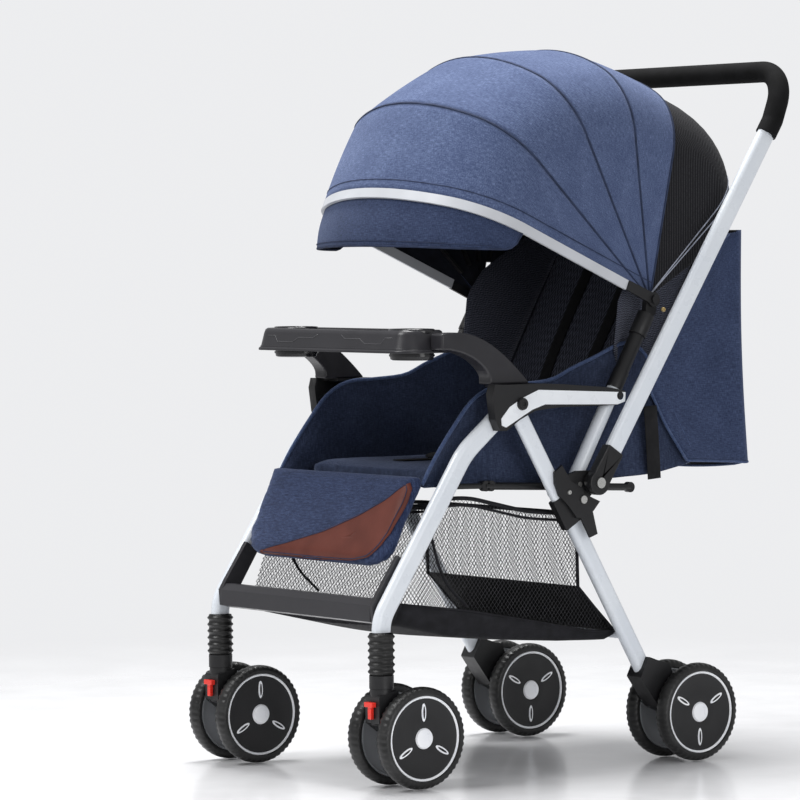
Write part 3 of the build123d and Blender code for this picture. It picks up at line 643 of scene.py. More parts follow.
def arch(rise, half, bends=(7, 12, 34)):
    """The (x, r) points of a three-centred arch, from the right hinge over the crown to the left one."""
    corner, crown = CORNER_SHARE * half, CROWN_SHARE * half
    spring = rise - crown + sqrt((crown - corner) ** 2 - (half - corner) ** 2)
    lean = atan2(half - corner, spring - (rise - crown))
    points = [(half, HOOD_START + (spring - HOOD_START) * t) for t in shares(bends[0])[:-1]]
    for a in ((pi / 2 - lean) * t for t in shares(bends[1])[:-1]):
        points.append((half - corner + corner * cos(a), spring + corner * sin(a)))
    for a in (lean * (1 - t) for t in shares(bends[2] // 2)):
        points.append((crown * sin(a), rise - crown + crown * cos(a)))
    return points + [(-x, r) for x, r in reversed(points[:-1])]


def on_plane(angle, x, r, shift=0.0):
    """A point of the fan plane at an angle about the hood's hinge, shifted towards the back."""
    c, s = cos(radians(angle)), sin(radians(angle))
    return Vector((x, HINGE[0] + c * r + s * shift, HINGE[1] + s * r - c * shift))


def arch_line(angle, rise, half, lift, shift=0.0):
    return [on_plane(angle, x, r, shift) for x, r in arch(rise + lift, half + lift)]


def hood_panel(number, front, back, angles):
    """One gore: chords between two ribs, let out a little towards the round of the fan."""
    ends = [[hypot(p.y - HINGE[0], p.z - HINGE[1]) for p in line] for line in (front, back)]
    rows = []
    for t in shares(14):
        angle = radians(angles[0] + (angles[1] - angles[0]) * t)
        row = []
        for a, b, ra, rb in zip(front, back, *ends):
            chord = a.lerp(b, t)
            r = ra + (rb - ra) * t
            bow = Vector((chord.x, HINGE[0] + cos(angle) * r, HINGE[1] + sin(angle) * r))
            row.append(chord.lerp(bow, 0.45))
        rows.append(row[::-1])
    piece = cloth(f"hood_panel_{number}", None, "navy_fabric", rows, 0.0012, HOOD, INSIDE)
    middle = (angles[0] + angles[1]) / 2
    centre = on_plane(middle, 0, 0.25)
    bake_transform(piece)
    length_of(front)
    return piece


def hood():
    lines = [arch_line(*BOW, 0.0012, BAND_HALF + 0.001)] + [arch_line(*rib, RIB_LIFT) for rib in RIBS]
    bodies = ["hood_bow", "hood_rib_1", "hood_rib_2", "hood_rib_3", "side_frame"]
    angles = [BOW[0]] + [rib[0] for rib in RIBS]
    panels = [hood_panel(k + 1, lines[k], lines[k + 1], angles[k: k + 2]) for k in range(4)]
    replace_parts(panels[0], "canopy_fabric")
    for number, (body, rib) in enumerate(zip(bodies[1:], RIBS), 1):
        line = arch_line(*rib, RIB_LIFT + 0.0009)
        trim(f"hood_seam_{number}", body, "navy_fabric", SEAM, strap(0.0032, 0.0012), outward_of(line), line)
    hem = arch_line(*BOW, 0.0022, BAND_HALF + 0.0145)
    trim("hood_front_stitching", "hood_bow", "navy_fabric", SEAM, strap(0.0014, 0.0008), outward_of(hem), hem)


def outward_of(line):
    """For each point of an arch, the direction away from its middle."""
    centre = Vector((0, HINGE[0], HINGE[1])).lerp(line[len(line) // 2], 0.35)
    return [(p - centre).normalized() for p in line]


def both_sides(row):
    """A right half's row of points, carried on over the middle to the left."""
    return row + [Vector((-p.x, p.y, p.z)) for p in reversed(row[:-1])]


def widest(rows):
    """The longest way across a cloth's rows."""
    return max(length_of(column) for column in zip(*rows))


hood()


def visor():
    """The flap that hangs from the front bow: level along its lower edge, rounded at both ends."""
    line = arch(BOW[1] - 0.004, BOW[2] - 0.004, bends=(7, 16, 50))
    top = [on_plane(BOW[0], x, r, -0.002) for x, r in line
           if HINGE[1] + r * sin(radians(BOW[0])) > 0.811]
    reach = reaches(top)
    rows = []
    for t in shares(10):
        row = []
        for p, at in zip(top, reach):
            floor = 0.792 - 0.006 * (abs(p.x) / 0.2) ** 2
            end = min(1.0, min(at, reach[-1] - at) / 0.024)
            hang = t * min(0.080, p.z - floor) * max(0.12, sqrt(1 - (1 - end) ** 2))
            drift = -0.25 * hang - 0.004 * sin(pi * t)
            row.append(Vector((p.x * (1 + 0.02 * t), p.y + drift, p.z - hang)))
        rows.append(row)
    piece = cloth("visor_cloth", "hood_bow", "navy_fabric", rows, 0.0022, NAVY, INSIDE)
    trim("visor_hem", "hood_bow", "navy_fabric", SEAM, circle(0.0019), (0, 1, 0), rows[-1])
    line = [p + Vector((0, -0.0022, 0)) for p in rows[-2]]
    trim("visor_stitching", "hood_bow", "navy_fabric", SEAM, strap(0.0012, 0.0008), (0, -1, 0.2), line)
    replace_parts(piece, "canopy_visor")
    flat = (length_of(rows[-1]), max((a - b).length for a, b in zip(rows[0], rows[-1])) + 0.02)


visor()

BACK_STATIONS = [(77.7, 0.352, 0.204), (48, 0.330, 0.198), (30, 0.240, 0.196)]


def through(a, b, c, t):
    """A smooth run from a to c that passes b halfway."""
    return (1 - t) ** 2 * a + 2 * t * (1 - t) * (2 * b - 0.5 * (a + c)) + t * t * c


def back_line(t):
    """A line across the rear net: t runs from 0 at the last rib to 1 at the backrest."""
    angle, rise, half = (through(*stations, t) for stations in zip(*BACK_STATIONS))
    return arch_line(angle, rise, half, 0.0052 - 0.0120 * (1 - t) ** 2)


def rear_net():
    rows = [back_line(i / 16) for i in range(17)]
    piece = cloth("rear_net_cloth", None, "dark_mesh", [row[::-1] for row in rows], 0.0012, REAR_NET, INSIDE)
    start, end = on_plane(72, 0, 0.25), on_plane(34, 0, 0.22)
    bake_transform(piece)
    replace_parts(piece, "canopy_back_mesh")
    wide, tall = length_of(rows[8]), length_of([row[28] for row in rows])
    for number, t in ((1, 0.60), (2, 0.66)):
        line = [p + n * 0.0009 for p, n in zip(back_line(t), outward_of(back_line(t)))]
        name, section = f"rear_net_stitching_{number}", strap(0.0018, 0.0008)
        seam = trim(name, None, "dark_mesh", STITCH, section, outward_of(line), line)
        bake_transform(seam)


rear_net()

# ---- cloth behind and beside the seat
FLAP_EDGE = metres((296, 457), (253, 514), (213, 584), (340, 775), (385, 806))


def back_flap():
    """A cloth that wraps the rear of the backrest: two wings joined round the back with soft corners."""
    steps, half, corner = 22, 0.1865, 0.016
    edge = spaced([side_point(0, p) for p in FLAP_EDGE], steps + 1)
    rows = []
    for i, front in enumerate(edge):
        t = i / steps
        rear = side_point(0, (0.430, 0.450)).lerp(side_point(0, (0.418, 0.812)), t)
        back = rear.y - 0.006 * sin(pi * t)
        reach = max(0.004, back - corner - front.y)
        turn = min(corner, back - front.y - reach)
        row = []
        for s in (k / 10 for k in range(10)):
            z = front.z + (rear.z - front.z) * s * reach / max(0.004, back - front.y)
            row.append(Vector((half - 0.003 * sin(pi * s), front.y + reach * s, z)))
        for a in (pi / 2 * k / 8 for k in range(9)):
            row.append(Vector((half - corner + corner * cos(a), back - turn + turn * sin(a), rear.z)))
        for x in ((half - corner) * (1 - k / 7) for k in range(1, 8)):
            row.append(Vector((x, back, rear.z - 0.012 * (1 - t) * (1 - (x / half) ** 2))))
        rows.append(both_sides(row))
    piece = cloth("back_flap_cloth", "backrest", "navy_fabric", rows, 0.002, NAVY, INSIDE)
    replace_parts(piece, "back_flap")
    length_of(rows[8]) * 1.15
    length_of([row[22] for row in rows]) * 1.05
    hem = Shape()
    hem.sweep(rows[0], circle(0.0022), up=(0, 0, 1))
    for end in (0, -1):
        hem.sweep([row[end] for row in rows], circle(0.0022), up=(1, 0, 0))
    hem.piece("back_flap_piping", "backrest", "navy_fabric", PIPING)


back_flap()

LINING_TOP = metres((-214, 440), (-190, 478), (-155, 523), (-120, 561), (-80, 580), (-30, 583), (30, 588),
                    (70, 604), (115, 620), (174, 641), (208, 630), (240, 590), (274, 530), (305, 478))
LINING_FOOT = metres((-210, 436), (-120, 436), (-60, 436), (-9, 433), (60, 433), (110, 434), (166, 436),
                     (235, 440), (305, 453))


def side_linings():
    """The padded cloth sides between the seat and the armrests, sagging a little inward."""
    top, foot = (spline([side_point(0.183, p) for p in edge], 46) for edge in (LINING_TOP, LINING_FOOT))
    for side, sign in SIDES:
        rows = []
        for t in shares(14):
            row = []
            for k, (a, b) in enumerate(zip(foot, top)):
                p = a.lerp(b, t)
                sag = (0.007 + 0.0018 * sin(k * 0.9 + 3 * t)) * sin(pi * t)
                row.append(Vector((sign * (p.x - sag), p.y, p.z)))
            rows.append(row)
        piece = cloth(f"side_lining_{side}", "side_frame", "navy_fabric", rows, 0.0026, LINING)
        name = f"side_lining_piping_{side}"
        trim(name, "side_frame", "navy_fabric", PIPING, circle(0.003), (1, 0, 0), rows[-1])
        if sign > 0:
            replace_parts(piece, "seat_side_panels")


side_linings()


WING_FRONT = metres((150, 630), (160, 712), (192, 752), (292, 812), (392, 854))
WING_REAR = metres((196, 540), (280, 690), (352, 812), (380, 840), (394, 852))


def backrest_wings():
    """Cloth that closes the gap between the hood's hinge and the backrest's edge on each side."""
    front, rear = (spaced([side_point(0, p) for p in edge], 20) for edge in (WING_FRONT, WING_REAR))
    for side, sign in SIDES:
        rows = []
        for t in shares(8):
            x = sign * (0.188 - 0.018 * t - 0.004 * sin(pi * t))
            rows.append([side_point(x, a.lerp(b, t).yz) for a, b in zip(front, rear)])
        piece = cloth(f"backrest_wing_{side}", None, "dark_mesh", rows, 0.0016, WING)
        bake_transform(piece)
        length_of(rows[0])
        widest(rows)


backrest_wings()


# ---- pads
def pad_block(name, body, slot, material, outline, depth, place):
    """A pad from an outline (a, b) in its own plane; place turns (a, b, out) into a point."""
    shape = Shape()
    shape.prism(*([place(a, b, out) for a, b in outline] for out in (0, depth)))
    return shape.piece(name, body, slot, material)


def flat_outline(half, length, near, far):
    """A pad outline with its far corners and its near corners rounded by different radii."""
    points = []
    for x, y, r, sx, sy, start in ((half, 0, near, 1, 1, -90), (half, length, far, 1, -1, 0),
                                   (-half, length, far, -1, -1, 90), (-half, 0, near, -1, 1, 180)):
        for k in range(9):
            a = radians(start + 90 * k / 8)
            points.append((x - sx * r + r * cos(a), y + sy * r + r * sin(a)))
    return points


def padding(name, body, slot, material, outline, depth, place, swelling, node, voxel=0.006):
    """A filled pad in the place of a CAD node."""
    pad = pad_block(name, body, slot, material, outline, depth, place)
    swell(pad, swelling, voxel)
    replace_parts(pad, node)
    return pad


BACK_FOOT = Vector((0, 0.150, 0.450))
BACK_SLOPE = 60.9
LEG_REST = Vector((0, -0.212, 0.460))
LEG_SLOPE = 244.5
ALONG_BACK, BEHIND_BACK = slope_frame(BACK_SLOPE)
DOWN_LEG, OFF_LEG = slope_frame(LEG_SLOPE)


def leg_rest_point(x, down, out=0.0):
    return LEG_REST + Vector((x, 0, 0)) + DOWN_LEG * down + OFF_LEG * out


def pads():
    def on_back(a, b, c):
        return BACK_FOOT + Vector((a, 0, 0)) + ALONG_BACK * (b + 0.004) + BEHIND_BACK * (c - 0.010)

    def on_seat(a, b, c):
        return Vector((a, -0.174 + b, 0.437 + c))

    def on_leg_rest(a, b, c):
        return leg_rest_point(a, b + 0.004, c - 0.006)

    return (
        padding("backrest_cushion", "backrest", "dark_mesh", MESH, flat_outline(0.166, 0.472, 0.02, 0.088),
                0.016, on_back, 0.006, "backrest_pad"),
        padding("seat_cushion", "side_frame", "navy_fabric", LINING, flat_outline(0.175, 0.308, 0.025, 0.012),
                0.020, on_seat, 0.007, "seat_pad"),
        padding("leg_rest_cushion", "leg_rest", "navy_fabric", NAVY_PAD,
                flat_outline(0.1895, 0.154, 0.012, 0.050), 0.012, on_leg_rest, 0.006, "leg_rest", 0.005),
    )


# The leather's upper edge from left to right, then round its lower corner; (x, distance down the leg rest).
LEATHER_EDGE = metres((-146, 152), (-81, 137), (12, 111), (90, 79), (143, 50), (181, 18), (181.5, 63),
                      (176, 100), (164, 128), (144, 145), (105, 151), (38, 152), (-49, 152))


def leather_patch(pad):
    """A leather trim on the leg rest, laid on its front and edged with stitching."""
    drop = surface_of(pad)
    outline = [Vector((x, y, 0)) for x, y in rounded(LEATHER_EDGE, 0.012, 3)]
    ring = spaced(outline + outline[:1], 73)[:-1]
    centre = Vector((0.085, 0.115, 0))

    def ring_at(t, lift):
        return [drop(leg_rest_point(*centre.lerp(p, t).to_2d()), -OFF_LEG, lift) for p in ring]

    shape = Shape()
    shape.grid([ring_at(max((i / 14) ** 0.8, 0.002), 0.0016) for i in range(15)], wrap_columns=True)
    patch = shape.piece("leg_rest_leather", "leg_rest", "leather_trim", LEATHER, outward=False)
    thicken(patch, 0.0012)
    section, line = strap(0.0011, 0.0008), ring_at(0.95, 0.0026)
    trim("leg_rest_stitching", "leg_rest", "leather_trim", SEAM, section, OFF_LEG, line, closed=True)


back_pad, seat_pad, leg_pad = pads()
leather_patch(leg_pad)


# ---- harness and recline straps
def lay_strap(name, body, points, width, drop, up):
    """Webbing that lies on a pad; up points away from the pad."""
    line = [drop(p, -Vector(up), 0.0016) for p in spline(points, 40)]
    for _ in range(3):
        line = [line[0]] + [(a + b * 2 + c) / 4 for a, b, c in zip(line, line[1:], line[2:])] + [line[-1]]
    return trim(name, body, "webbing", WEB, strap(width, 0.0018), up, line)


def harness():
    drop_back, drop_seat = surface_of(back_pad), surface_of(seat_pad)
    shoulders = []
    for side, sign in SIDES:
        points = [BACK_FOOT + ALONG_BACK * b + Vector((sign * a, 0, 0)) - BEHIND_BACK * 0.02
                  for a, b in ((0.050, 0.345), (0.052, 0.25), (0.048, 0.15), (0.030, 0.05))]
        name = f"shoulder_strap_{side}"
        shoulders.append(lay_strap(name, "backrest", points, 0.025, drop_back, -BEHIND_BACK))
    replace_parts(shoulders[0], "harness_webbing")
    for side, sign in SIDES:
        points = [(sign * x, y, 0.47) for x, y in metres((165, 95), (120, 45), (70, 0), (30, -25))]
        lay_strap(f"lap_strap_{side}", "side_frame", points, 0.025, drop_seat, (0, 0, 1))
    points = [(0, y, 0.47) for y in (-0.12, -0.08, -0.04)]
    lay_strap("crotch_strap", "side_frame", points, 0.028, drop_seat, (0, 0, 1))


harness()


def recline_straps():
    straps = []
    for side, sign in SIDES:
        points = [Vector((sign * (0.1911 + 0.0006 * sin(3 * t)), 0.219 + 0.0075 * t, 0.5435 - 0.112 * t))
                  for t in shares(12)]
        name = f"recline_strap_{side}"
        straps.append(trim(name, "side_frame", "webbing", WEB, strap(0.026, 0.0014), (sign, 0, 0), points))
    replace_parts(straps[0], "recline_straps")


recline_straps()

# ---- wheels
LUGS = 48


def tyre_mesh():
    profile = [(-0.0095, 0.0624), (-0.0122, 0.0638), (-0.0125, 0.0670), (-0.0118, 0.0706), (-0.0095, 0.0731),
               (-0.0062, 0.0744), (-0.0020, 0.0750)]
    profile += [(-a, r) for a, r in reversed(profile)]

    def grip(step, along, radius):
        return 0.0013 if abs(along) > 0.0055 and radius > 0.070 and step % 4 < 2 else 0.0

    shape = Shape()
    shape.lathe(profile, (0, 0, 0), steps=LUGS * 4, closed=True, grip=grip)
    shape.face_outward()
    return shape.mesh("tyre", TYRE, sharp=32)


DISC_FACE = metres((8, 15), (8.6, 19), (7.8, 30), (7.8, 50), (9.4, 59))
DISC_RING = metres((9.4, 59), (10.4, 59.8), (11, 60.6), (10.8, 62), (8.8, 63))
DISC_BACK = metres((-8.8, 62.8), (-11, 61.8), (-10.8, 60), (-2, 57), (-1, 30), (-5, 17), (-12, 15),
                   (-12.2, 6.2))
DISC_CAP = metres((12.4, 0.1), (12.2, 6), (11.6, 11), (10.4, 14.2), (8, 15.5))


def disc_mesh(turns):
    """A wheel's disc: black face with a thin silver ring and three slots, silver cap, hollow grey inside."""
    shape = Shape()
    for part, profile in enumerate((DISC_FACE, DISC_RING, DISC_BACK, DISC_CAP)):
        shape.lathe(profile, (0, 0, 0), part=part)
    shape.face_outward()
    for turn in turns:
        turned = Matrix.Rotation(radians(turn), 3, "X")
        for reach, rise, lift, part in ((0.0125, 0.0036, 0.0088, 1), (0.0090, 0.0016, 0.0092, 0)):
            rings = [[turned @ Vector((x, 0.038 + reach * grow * a, rise * grow * b))
                      for a, b in circle(1, 20)] for grow, x in ((1.15, 0.0076), (1.0, lift), (0.85, lift))]
            shape.cap(shape.grid(rings, wrap_columns=True, part=part)[-1], part)
    return shape.mesh("disc", BLACK, SILVER, GREY_RIM, SILVER, sharp=30)


def wheels():
    tyre = tyre_mesh()
    discs = {"front": disc_mesh((90, 210, 330)), "rear": disc_mesh((270, 30, 150))}
    for end in ("front", "rear"):
        for side, sign in SIDES:
            kinds = (("tyre", tyre, "tyre_rubber", f"{end}_tyres_{side}"),
                     ("disc", discs[end], "wheel_plastic", f"{end}_rims_{side}"))
            middle = sum(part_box(f"{end}_tyres_{side}"), Vector()) / 2
            for place, way in (("outer", sign), ("inner", -sign)):
                at = Matrix.Translation(middle + Vector((way * 0.0355, 0, 0)))
                at = at @ Matrix.Rotation(pi if way < 0 else 0, 4, "Z")
                for kind, mesh, slot, node in kinds:
                    piece = put(f"{end}_wheel_{kind}_{side}_{place}", mesh, f"{end}_wheels_{side}", slot, at)
                    if place == "outer":
                        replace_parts(piece, node)


wheels()


BELLOWS_RING = [(0.02, 0.0172), (0.22, 0.0178), (0.40, 0.0196), (0.50, 0.0200), (0.60, 0.0196),
                (0.78, 0.0178)]  # (share of one ring's height, radius)


def bellows(rings=6):
    for side, _ in SIDES:
        low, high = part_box(f"bellows_{side}")
        centre = (low + high) / 2
        step = (high.z - low.z) / rings
        profile = [(low.z - centre.z + step * (k + a), r) for k in range(rings) for a, r in BELLOWS_RING]
        shape = Shape()
        shape.lathe(profile + [(high.z - centre.z, 0.0172)], centre, axis=(0, 0, 1), steps=40)
        piece = shape.piece(f"bellows_sleeve_{side}", "front_legs", "bellows_rubber", BELLOWS)
        thicken(piece, 0.0014, offset=-1)
        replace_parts(piece, f"bellows_{side}")
        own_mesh(piece)


bellows()


# ---- basket
def crossings(outline, normal, level):
    """Where a straight line crosses an outline, as pairs of its ends."""
    along = Vector((-normal.y, normal.x))
    hits = []
    for i, a in enumerate(outline):
        b = outline[(i + 1) % len(outline)]
        da, db = a.dot(normal) - level, b.dot(normal) - level
        if (da < 0) != (db < 0):
            point = a.lerp(b, da / (da - db))
            hits.append((point.dot(along), point))
    hits.sort(key=lambda h: h[0])
    return [(hits[i][1], hits[i + 1][1]) for i in range(0, len(hits) - 1, 2)]


def net(name, outline, place, out, pitch=0.0056, width=0.00054):
    """A net of diamond cells over an outline of its own plane; place turns its (a, b) into a point."""
    outline = [Vector(p) for p in outline]
    shape = Shape()
    w, t = width / 2, 0.00025
    for degrees, lift in ((38, 0.0), (142, 0.0004)):
        normal = Vector((cos(radians(degrees)), sin(radians(degrees))))
        levels = [p.dot(normal) for p in outline]
        for k in range(int((max(levels) - min(levels)) / pitch)):
            for a, b in crossings(outline, normal, min(levels) + pitch * (k + 0.5)):
                length = (b - a).length
                if length < 0.002:
                    continue
                cuts = max(1, round(length / 0.03))
                line = [place(*a.lerp(b, i / cuts)) + Vector(out) * lift for i in range(cuts + 1)]
                shape.sweep(line, [(-w, -t), (w, -t), (w, t), (-w, t)], up=out)
    return shape.piece(name, "front_legs", "basket_net", STRAND, outward=False)


SIDE_X, NET_HALF = 0.1862, 0.186
FRONT_TALL, REAR_TALL = 0.153, 0.110  # the end nets' heights, measured along them
FRONT_LOW, FRONT_HIGH = Vector((0, -0.2595, 0.267)), Vector((0, -0.2055, 0.410))
TOP_HEM = metres((-205, 411), (-171, 417), (-129, 416), (-82, 406), (-28, 394), (15, 389), (74, 385))
REAR_CORNER, REAR_SLANT = (0.077, 0.274), 0.072
BAND_TOP = metres((-258, 266), (-136, 250), (-3, 225), (95, 206), (149, 202))
BAND_LOW = metres((-264, 236), (-163, 213), (-41, 200), (51, 193), (134, 190), (147, 197))
FRONT_SEAM = metres((-207, 400), (-203, 372), (-190, 324), (-172, 290), (-136, 256))
REAR_SEAMS = [[(0.074, 0.385), (0.0755, 0.33), REAR_CORNER], [REAR_CORNER, (0.110, 0.240), (0.149, 0.202)]]


def front_net_point(x, v):
    p = FRONT_LOW.lerp(FRONT_HIGH, v / FRONT_TALL)
    sag = 0.010 * (1 - (x / SIDE_X) ** 2)
    return Vector((x, p.y - 0.2 * sag * (1 - v / FRONT_TALL), p.z - sag * (v / FRONT_TALL) ** 2))


def rear_net_point(x, v):
    return Vector((x, REAR_CORNER[0] - 0.003 * v / REAR_TALL, REAR_CORNER[1] + v))


def end_outline(tall):
    return [(-NET_HALF, 0), (NET_HALF, 0), (NET_HALF, tall), (-NET_HALF, tall)]


def across(steps):
    return [-NET_HALF + 2 * NET_HALF * i / steps for i in range(steps + 1)]


def basket():
    trims = []
    for side, sign in SIDES:
        def side_net_point(y, z):
            belly = 0.0022 * sin(pi * min(1, max(0, (z - 0.27) / 0.13)))
            return Vector((sign * (SIDE_X + belly), y, z))

        def edge(points, out, radius):
            line = [side_point(sign * (SIDE_X + out), p) for p in points]
            hems.sweep(line, circle(radius), up=(sign, 0, 0))

        outline = TOP_HEM + [REAR_CORNER, *reversed(BAND_TOP)]
        piece = net(f"basket_net_{side}", outline, side_net_point, (sign, 0, 0))
        if sign > 0:
            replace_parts(piece, "basket_mesh")
        hems = Shape()
        top = [p.yz for p in spline([side_point(0, q) for q in TOP_HEM], 40)]
        edge(top, 0.0006, 0.0031)
        edge([p + Vector((0.001, -0.0105)) for p in top], 0.0006, 0.0021)
        edge([p.yz for p in spline([side_point(0, q) for q in FRONT_SEAM], 30)], 0.002, 0.0022)
        for seam, radius in zip(REAR_SEAMS, (0.0026, 0.0022)):
            edge(seam, 0.0012, radius)
        trims += [piece, hems.piece(f"basket_bindings_{side}", "front_legs", "basket_cloth", BLACK_CLOTH)]
    trims += [net("basket_net_front", end_outline(FRONT_TALL), front_net_point, (0, -0.9, 0.4)),
              net("basket_net_rear", end_outline(REAR_TALL), rear_net_point, (0, 1, 0))]
    ends = Shape()
    for v, radius in ((FRONT_TALL, 0.003), (FRONT_TALL - 0.010, 0.002)):
        ends.sweep([front_net_point(x, v) for x in across(24)], circle(radius), up=(0, -1, 0.4))
    ends.sweep([Vector((x, 0.074, 0.385)) for x in across(12)], circle(0.003), up=(0, 1, 0))
    ends.sweep([FRONT_LOW + Vector((x, 0, 0)) for x in across(12)], circle(0.0024), up=(0, -1, 0))
    trims.append(ends.piece("basket_bindings_across", "front_legs", "basket_cloth", BLACK_CLOTH))
    basket_band()


def band_row(a, b, half=SIDE_X + 0.0008):
    """One round of the band: down the side from a, round the corner at b, over the floor to the middle."""
    tall = max(0.004, a.z - b.z)
    turn = min(0.016, tall * 0.9)
    row = [Vector((half + 0.002 * sin(pi * t), a.y + (b.y - a.y) * t, a.z - (tall - turn) * t))
           for t in shares(6)]
    row += [Vector((half - turn + turn * cos(g), b.y, b.z + turn - turn * sin(g)))
            for g in (pi / 2 * i / 7 for i in range(1, 8))]
    row += [Vector(((half - turn) * (1 - t), b.y, b.z - 0.006 * sin(pi / 2 * t)))
            for t in (i / 8 for i in range(1, 9))]
    return both_sides(row)


def basket_band():
    """The solid lower part: its sides, the sagging floor and the front, and the slanted rear."""
    top, low = (spaced([side_point(0, p) for p in edge], 30) for edge in (BAND_TOP, BAND_LOW))
    rows = [band_row(a, b) for a, b in zip(top, low)]
    band = cloth("basket_band", "front_legs", "basket_cloth", rows, 0.0022, BLACK_CLOTH)
    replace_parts(band, "basket_base")
    length_of(rows[0])
    length_of([row[20] for row in rows]) * 1.02
    quarters = (0, 0.25, 0.5, 0.75, 1)
    closing = [[p.lerp(Vector((p.x, -0.259, 0.266)), t) for p in rows[0]] for t in quarters]
    front = cloth("basket_front_band", "front_legs", "basket_cloth", closing, 0.002, BLACK_CLOTH)
    length_of(rows[0])
    slope = [[Vector((x, REAR_CORNER[0] + t, REAR_CORNER[1] - t)) for x in across(12)]
             for t in (REAR_SLANT * q for q in quarters)]
    slant = cloth("basket_rear_mesh", "front_legs", "dark_mesh", slope, 0.0014, DENSE)
    hem = Shape()
    for sign in (1, -1):
        line = [side_point(sign * (SIDE_X + 0.002), p.yz) for p in top]
        hem.sweep(line, circle(0.0017), up=(sign, 0, 0))
    hem.piece("basket_band_piping", "front_legs", "basket_cloth", BLACK_CLOTH)


basket()


# ---- small mouldings
def cap_screw(shape, x, point, radius, depth, sign=1):
    profile = [(-0.001, radius), (depth * 0.5, radius), (depth, radius * 0.86), (depth, radius * 0.42),
               (depth - 0.0014, radius * 0.36), (depth - 0.0014, 0.0002)]
    shape.lathe(profile, side_point(sign * x, point), axis=(sign, 0, 0), steps=28)


def tube_sleeves():
    """Black sleeves over the side tubes from the armrests up to the hood hinges."""
    shape = Shape()
    profile = [(0, 0.0108), (0, 0.0126), (0.030, 0.0126), (0.032, 0.0116), (0.110, 0.0116), (0.112, 0.0108)]
    shape.lathe(profile, (0.212, 0.1290, 0.5730), axis=(0, 0.504, 0.864))
    shape.piece("side_tube_sleeves", "side_frame", "black_plastic", BLACK, mirror=True, sharp=40)


def screws():
    sleeve_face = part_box("handle_end_sleeves")[1].x
    for name, body, x, radius, depth, point, material, slot in (
        ("armrest_bolts", "side_frame", 0.2344, 0.0088, 0.0052, (-0.066, 0.556), BLACK, "black_plastic"),
        ("hinge_screws", "side_frame", 0.2335, 0.0038, 0.002, (0.210, 0.6916), BRASS, "zinc_steel"),
        ("push_bar_screws", "push_bar", sleeve_face, 0.0052, 0.0028, (0.070, 0.434), ZINC, "zinc_steel"),
    ):
        shape = Shape()
        cap_screw(shape, x, point, radius, depth)
        shape.piece(name, body, slot, material, mirror=True, sharp=35)
    for side, sign in SIDES:
        low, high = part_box(f"fold_lock_{side}")
        shape = Shape()
        for point, radius in (((0.023, 0.421), 0.0036), ((0.051, 0.410), 0.0048)):
            cap_screw(shape, high.x if sign > 0 else -low.x, point, radius, 0.0022, sign)
        shape.piece(f"fold_lock_screws_{side}", f"fold_lock_{side}", "zinc_steel", ZINC, sharp=35)


tube_sleeves()
screws()


TRAY_MIDDLE, TRAY_HALF, TRAY_DEPTH, TRAY_CORNER = -0.2055, 0.196, 0.0505, 0.032
CUP_AT, CUP_HOLE = (0.147, -0.204), 0.0386


def tray_ring(inset, z, count=13):
    corner = max(0.006, TRAY_CORNER - inset)
    ring = []
    for x, y, start in ((1, -1, -90), (1, 1, 0), (-1, 1, 90), (-1, -1, 180)):
        far = inset + corner
        middle = Vector((x * (TRAY_HALF - far), TRAY_MIDDLE + y * (TRAY_DEPTH - far), z))
        for a in (radians(start + 90 * k / (count - 1)) for k in range(count)):
            ring.append(middle + Vector((corner * cos(a), corner * sin(a), 0)))
    return ring


def closed_edges(bm, verts):
    return [bm.edges.get((a, b)) or bm.edges.new((a, b)) for a, b in zip(verts, verts[1:] + verts[:1])]


TRAY_LEVELS = metres((3, 640), (2.2, 634.5), (0.6, 633.5), (0, 635), (0.8, 637.2), (3, 638.5), (4.2, 641),
                     (9, 660), (11.2, 665.2), (14.5, 667.2), (18.5, 666.8), (20.5, 664), (21.5, 661.5))
ARM_TOP = metres((-190, 663.5), (-160, 662.5), (-128, 653), (-96, 635), (-64, 609), (-40, 585.6))
ARM_UNDER = metres((-117, 585.6), (-116.5, 596), (-124, 608), (-142, 622), (-165, 632), (-190, 637.5))


def tray_body():
    """The tray: a lip, sides that lean in, a sunken deck with two holes for the cups, and two arms."""
    shape = Shape()
    rings = shape.grid([tray_ring(*level) for level in TRAY_LEVELS], wrap_columns=True)
    for ring in (rings[0], rings[-1]):
        edges = closed_edges(shape.bm, ring)
        for sign in (1, -1):
            middle = Vector((sign * CUP_AT[0], CUP_AT[1], ring[0].co.z))
            hole = [shape.bm.verts.new(middle + Vector((*p, 0))) for p in circle(CUP_HOLE, 48, 0.76)]
            edges += closed_edges(shape.bm, hole)
        bmesh.ops.triangle_fill(shape.bm, use_beauty=True, edges=edges)
    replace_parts(shape.piece("tray_top", "tray", "tray_plastic", CHARCOAL, sharp=45), "tray")
    arm = [(-0.205, 0.6380), (-0.205, 0.6620)]
    for points, count in ((ARM_TOP, 24), (ARM_UNDER, 18)):
        arm += [p.yz for p in spline([side_point(0, q) for q in points], count)]
    shape = Shape()
    shape.prism(*([side_point(x, p) for p in arm] for x in (0.1935, 0.2220)))
    arms = shape.piece("tray_arms", "tray", "tray_plastic", CHARCOAL, mirror=True, sharp=50)
    bevelled(arms, 0.0042, 3)


CUP_OUTSIDE = metres((0.3, 0.3), (0.5, 33), (1.6, 36.6), (6, 37.8), (6.2, 39.2), (9, 39.2), (9.2, 37.8),
                     (12, 37.8), (12.2, 39.4), (17.5, 39.4), (40, 39.2))
CUP_INSIDE = metres((44, 40), (46.2, 39), (46.8, 37.8), (45, 36.8), (12, 35.2), (5, 34), (3.5, 30),
                    (3.2, 0.3))


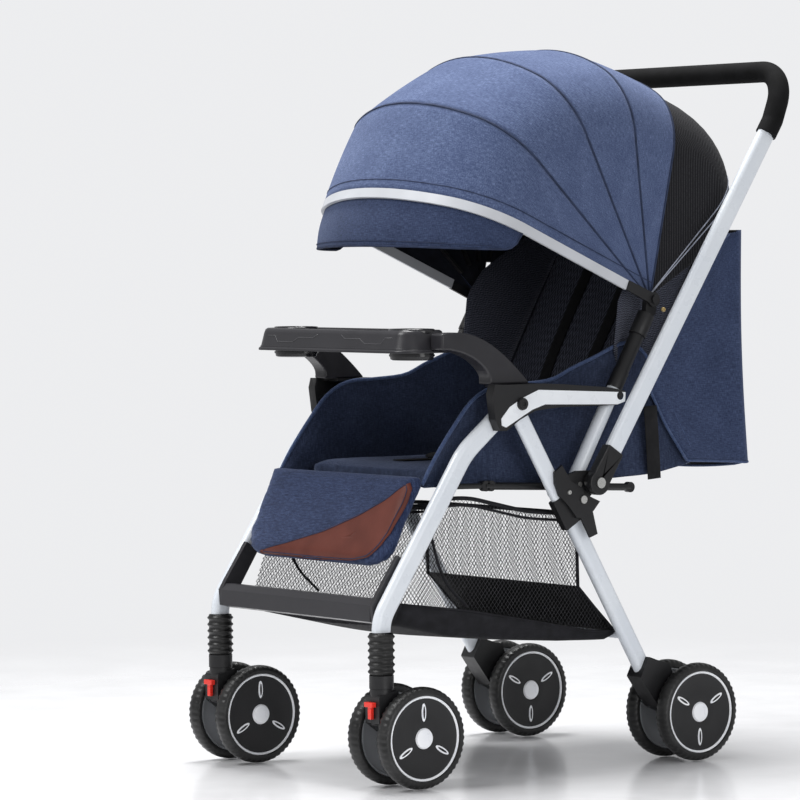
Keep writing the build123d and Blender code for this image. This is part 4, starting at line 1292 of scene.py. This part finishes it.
def tray_cups():
    """Glossy liners with proud rims, and the ribbed wells below."""
    for side, sign in SIDES:
        shape = Shape()
        shape.lathe(CUP_OUTSIDE + CUP_INSIDE, (0, 0, 0), axis=(0, 0, 1), steps=64)
        for v in shape.bm.verts:
            v.co = Vector((v.co.x + sign * CUP_AT[0], v.co.y * 0.78 + CUP_AT[1], v.co.z + 0.622))
        shape.piece(f"tray_cup_{side}", "tray", "black_plastic", GLOSS, sharp=45)


TRAY_LINE = metres((160, 656), (140, 656), (132, 647), (92, 647), (78, 654), (40, 654), (30, 659))


def tray_lines():
    """A faint zigzag groove on the tray's front face, the same on both halves; its lighter strip is a painted
    highlight along the groove's edge.
    """
    shape = Shape()
    face = TRAY_MIDDLE - TRAY_DEPTH + 0.0041
    for sign in (1, -1):
        points = [Vector((sign * x, face + (z - 0.641) * 0.253, z)) for x, z in TRAY_LINE]
        shape.sweep(points, [(-0.0004, -0.0003), (0.0004, -0.0003), (0.0004, 0.0003), (-0.0004, 0.0003)],
                    up=(0, -1, 0.25))
    shape.piece("tray_lines", "tray", "tray_plastic", TRAY_GROOVE_HIGHLIGHT)


tray_body()
tray_cups()
tray_lines()


SOFT_EDGES = {"armrest_shells": 0.0022, "front_crossbar": 0.0038, "fold_lock_left": 0.0016,
              "fold_lock_right": 0.0016, "harness_buckle": 0.0015, "handle_end_sleeves": 0.0015,
              "knuckle_brackets": 0.0012,
              "canopy_hinge_brackets": 0.0015, "brake_pedals": 0.0015, "swivel_lock_left": 0.0008,
              "swivel_lock_right": 0.0008}


def finish_mouldings():
    """Soft edges for the moulded pieces that are shown as they are, and black heads for the upper pins."""
    for name, width in SOFT_EDGES.items():
        modify(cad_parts[name], "WELD", merge_threshold=0.00002)
        bevelled(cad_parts[name], width, 2)
    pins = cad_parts["frame_pivot_pins"].data
    pins.materials.append(BLACK)
    for polygon in pins.polygons:
        if polygon.center.z > 0.5:
            polygon.material_index = len(pins.materials) - 1


finish_mouldings()


RAIL_RING = metres((-4.5, 0.3), (-4.5, 8), (4.5, 8), (4.5, 0.3))


def seat_rails():
    """Thin rods and sleeves under the seat's edges."""
    for name, body, node, radius, ends in (
        ("seat_rods", "seat_rail_front", "seat_rail_rods", 0.0042, ((-0.181, 0.436), (-0.095, 0.4338))),
        ("seat_sleeves", "seat_rail_rear", "seat_rail_sleeves", 0.0056, ((-0.105, 0.434), (0.1745, 0.421))),
    ):
        ends = [side_point(0.1925, end) for end in ends]
        shape = Shape()
        shape.sweep(ends, circle(radius, 14), up=(1, 0, 0))
        for end in ends:
            shape.lathe(RAIL_RING, end, steps=24)
        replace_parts(shape.piece(name, body, "black_plastic", BLACK, mirror=True, sharp=40), node)


seat_rails()
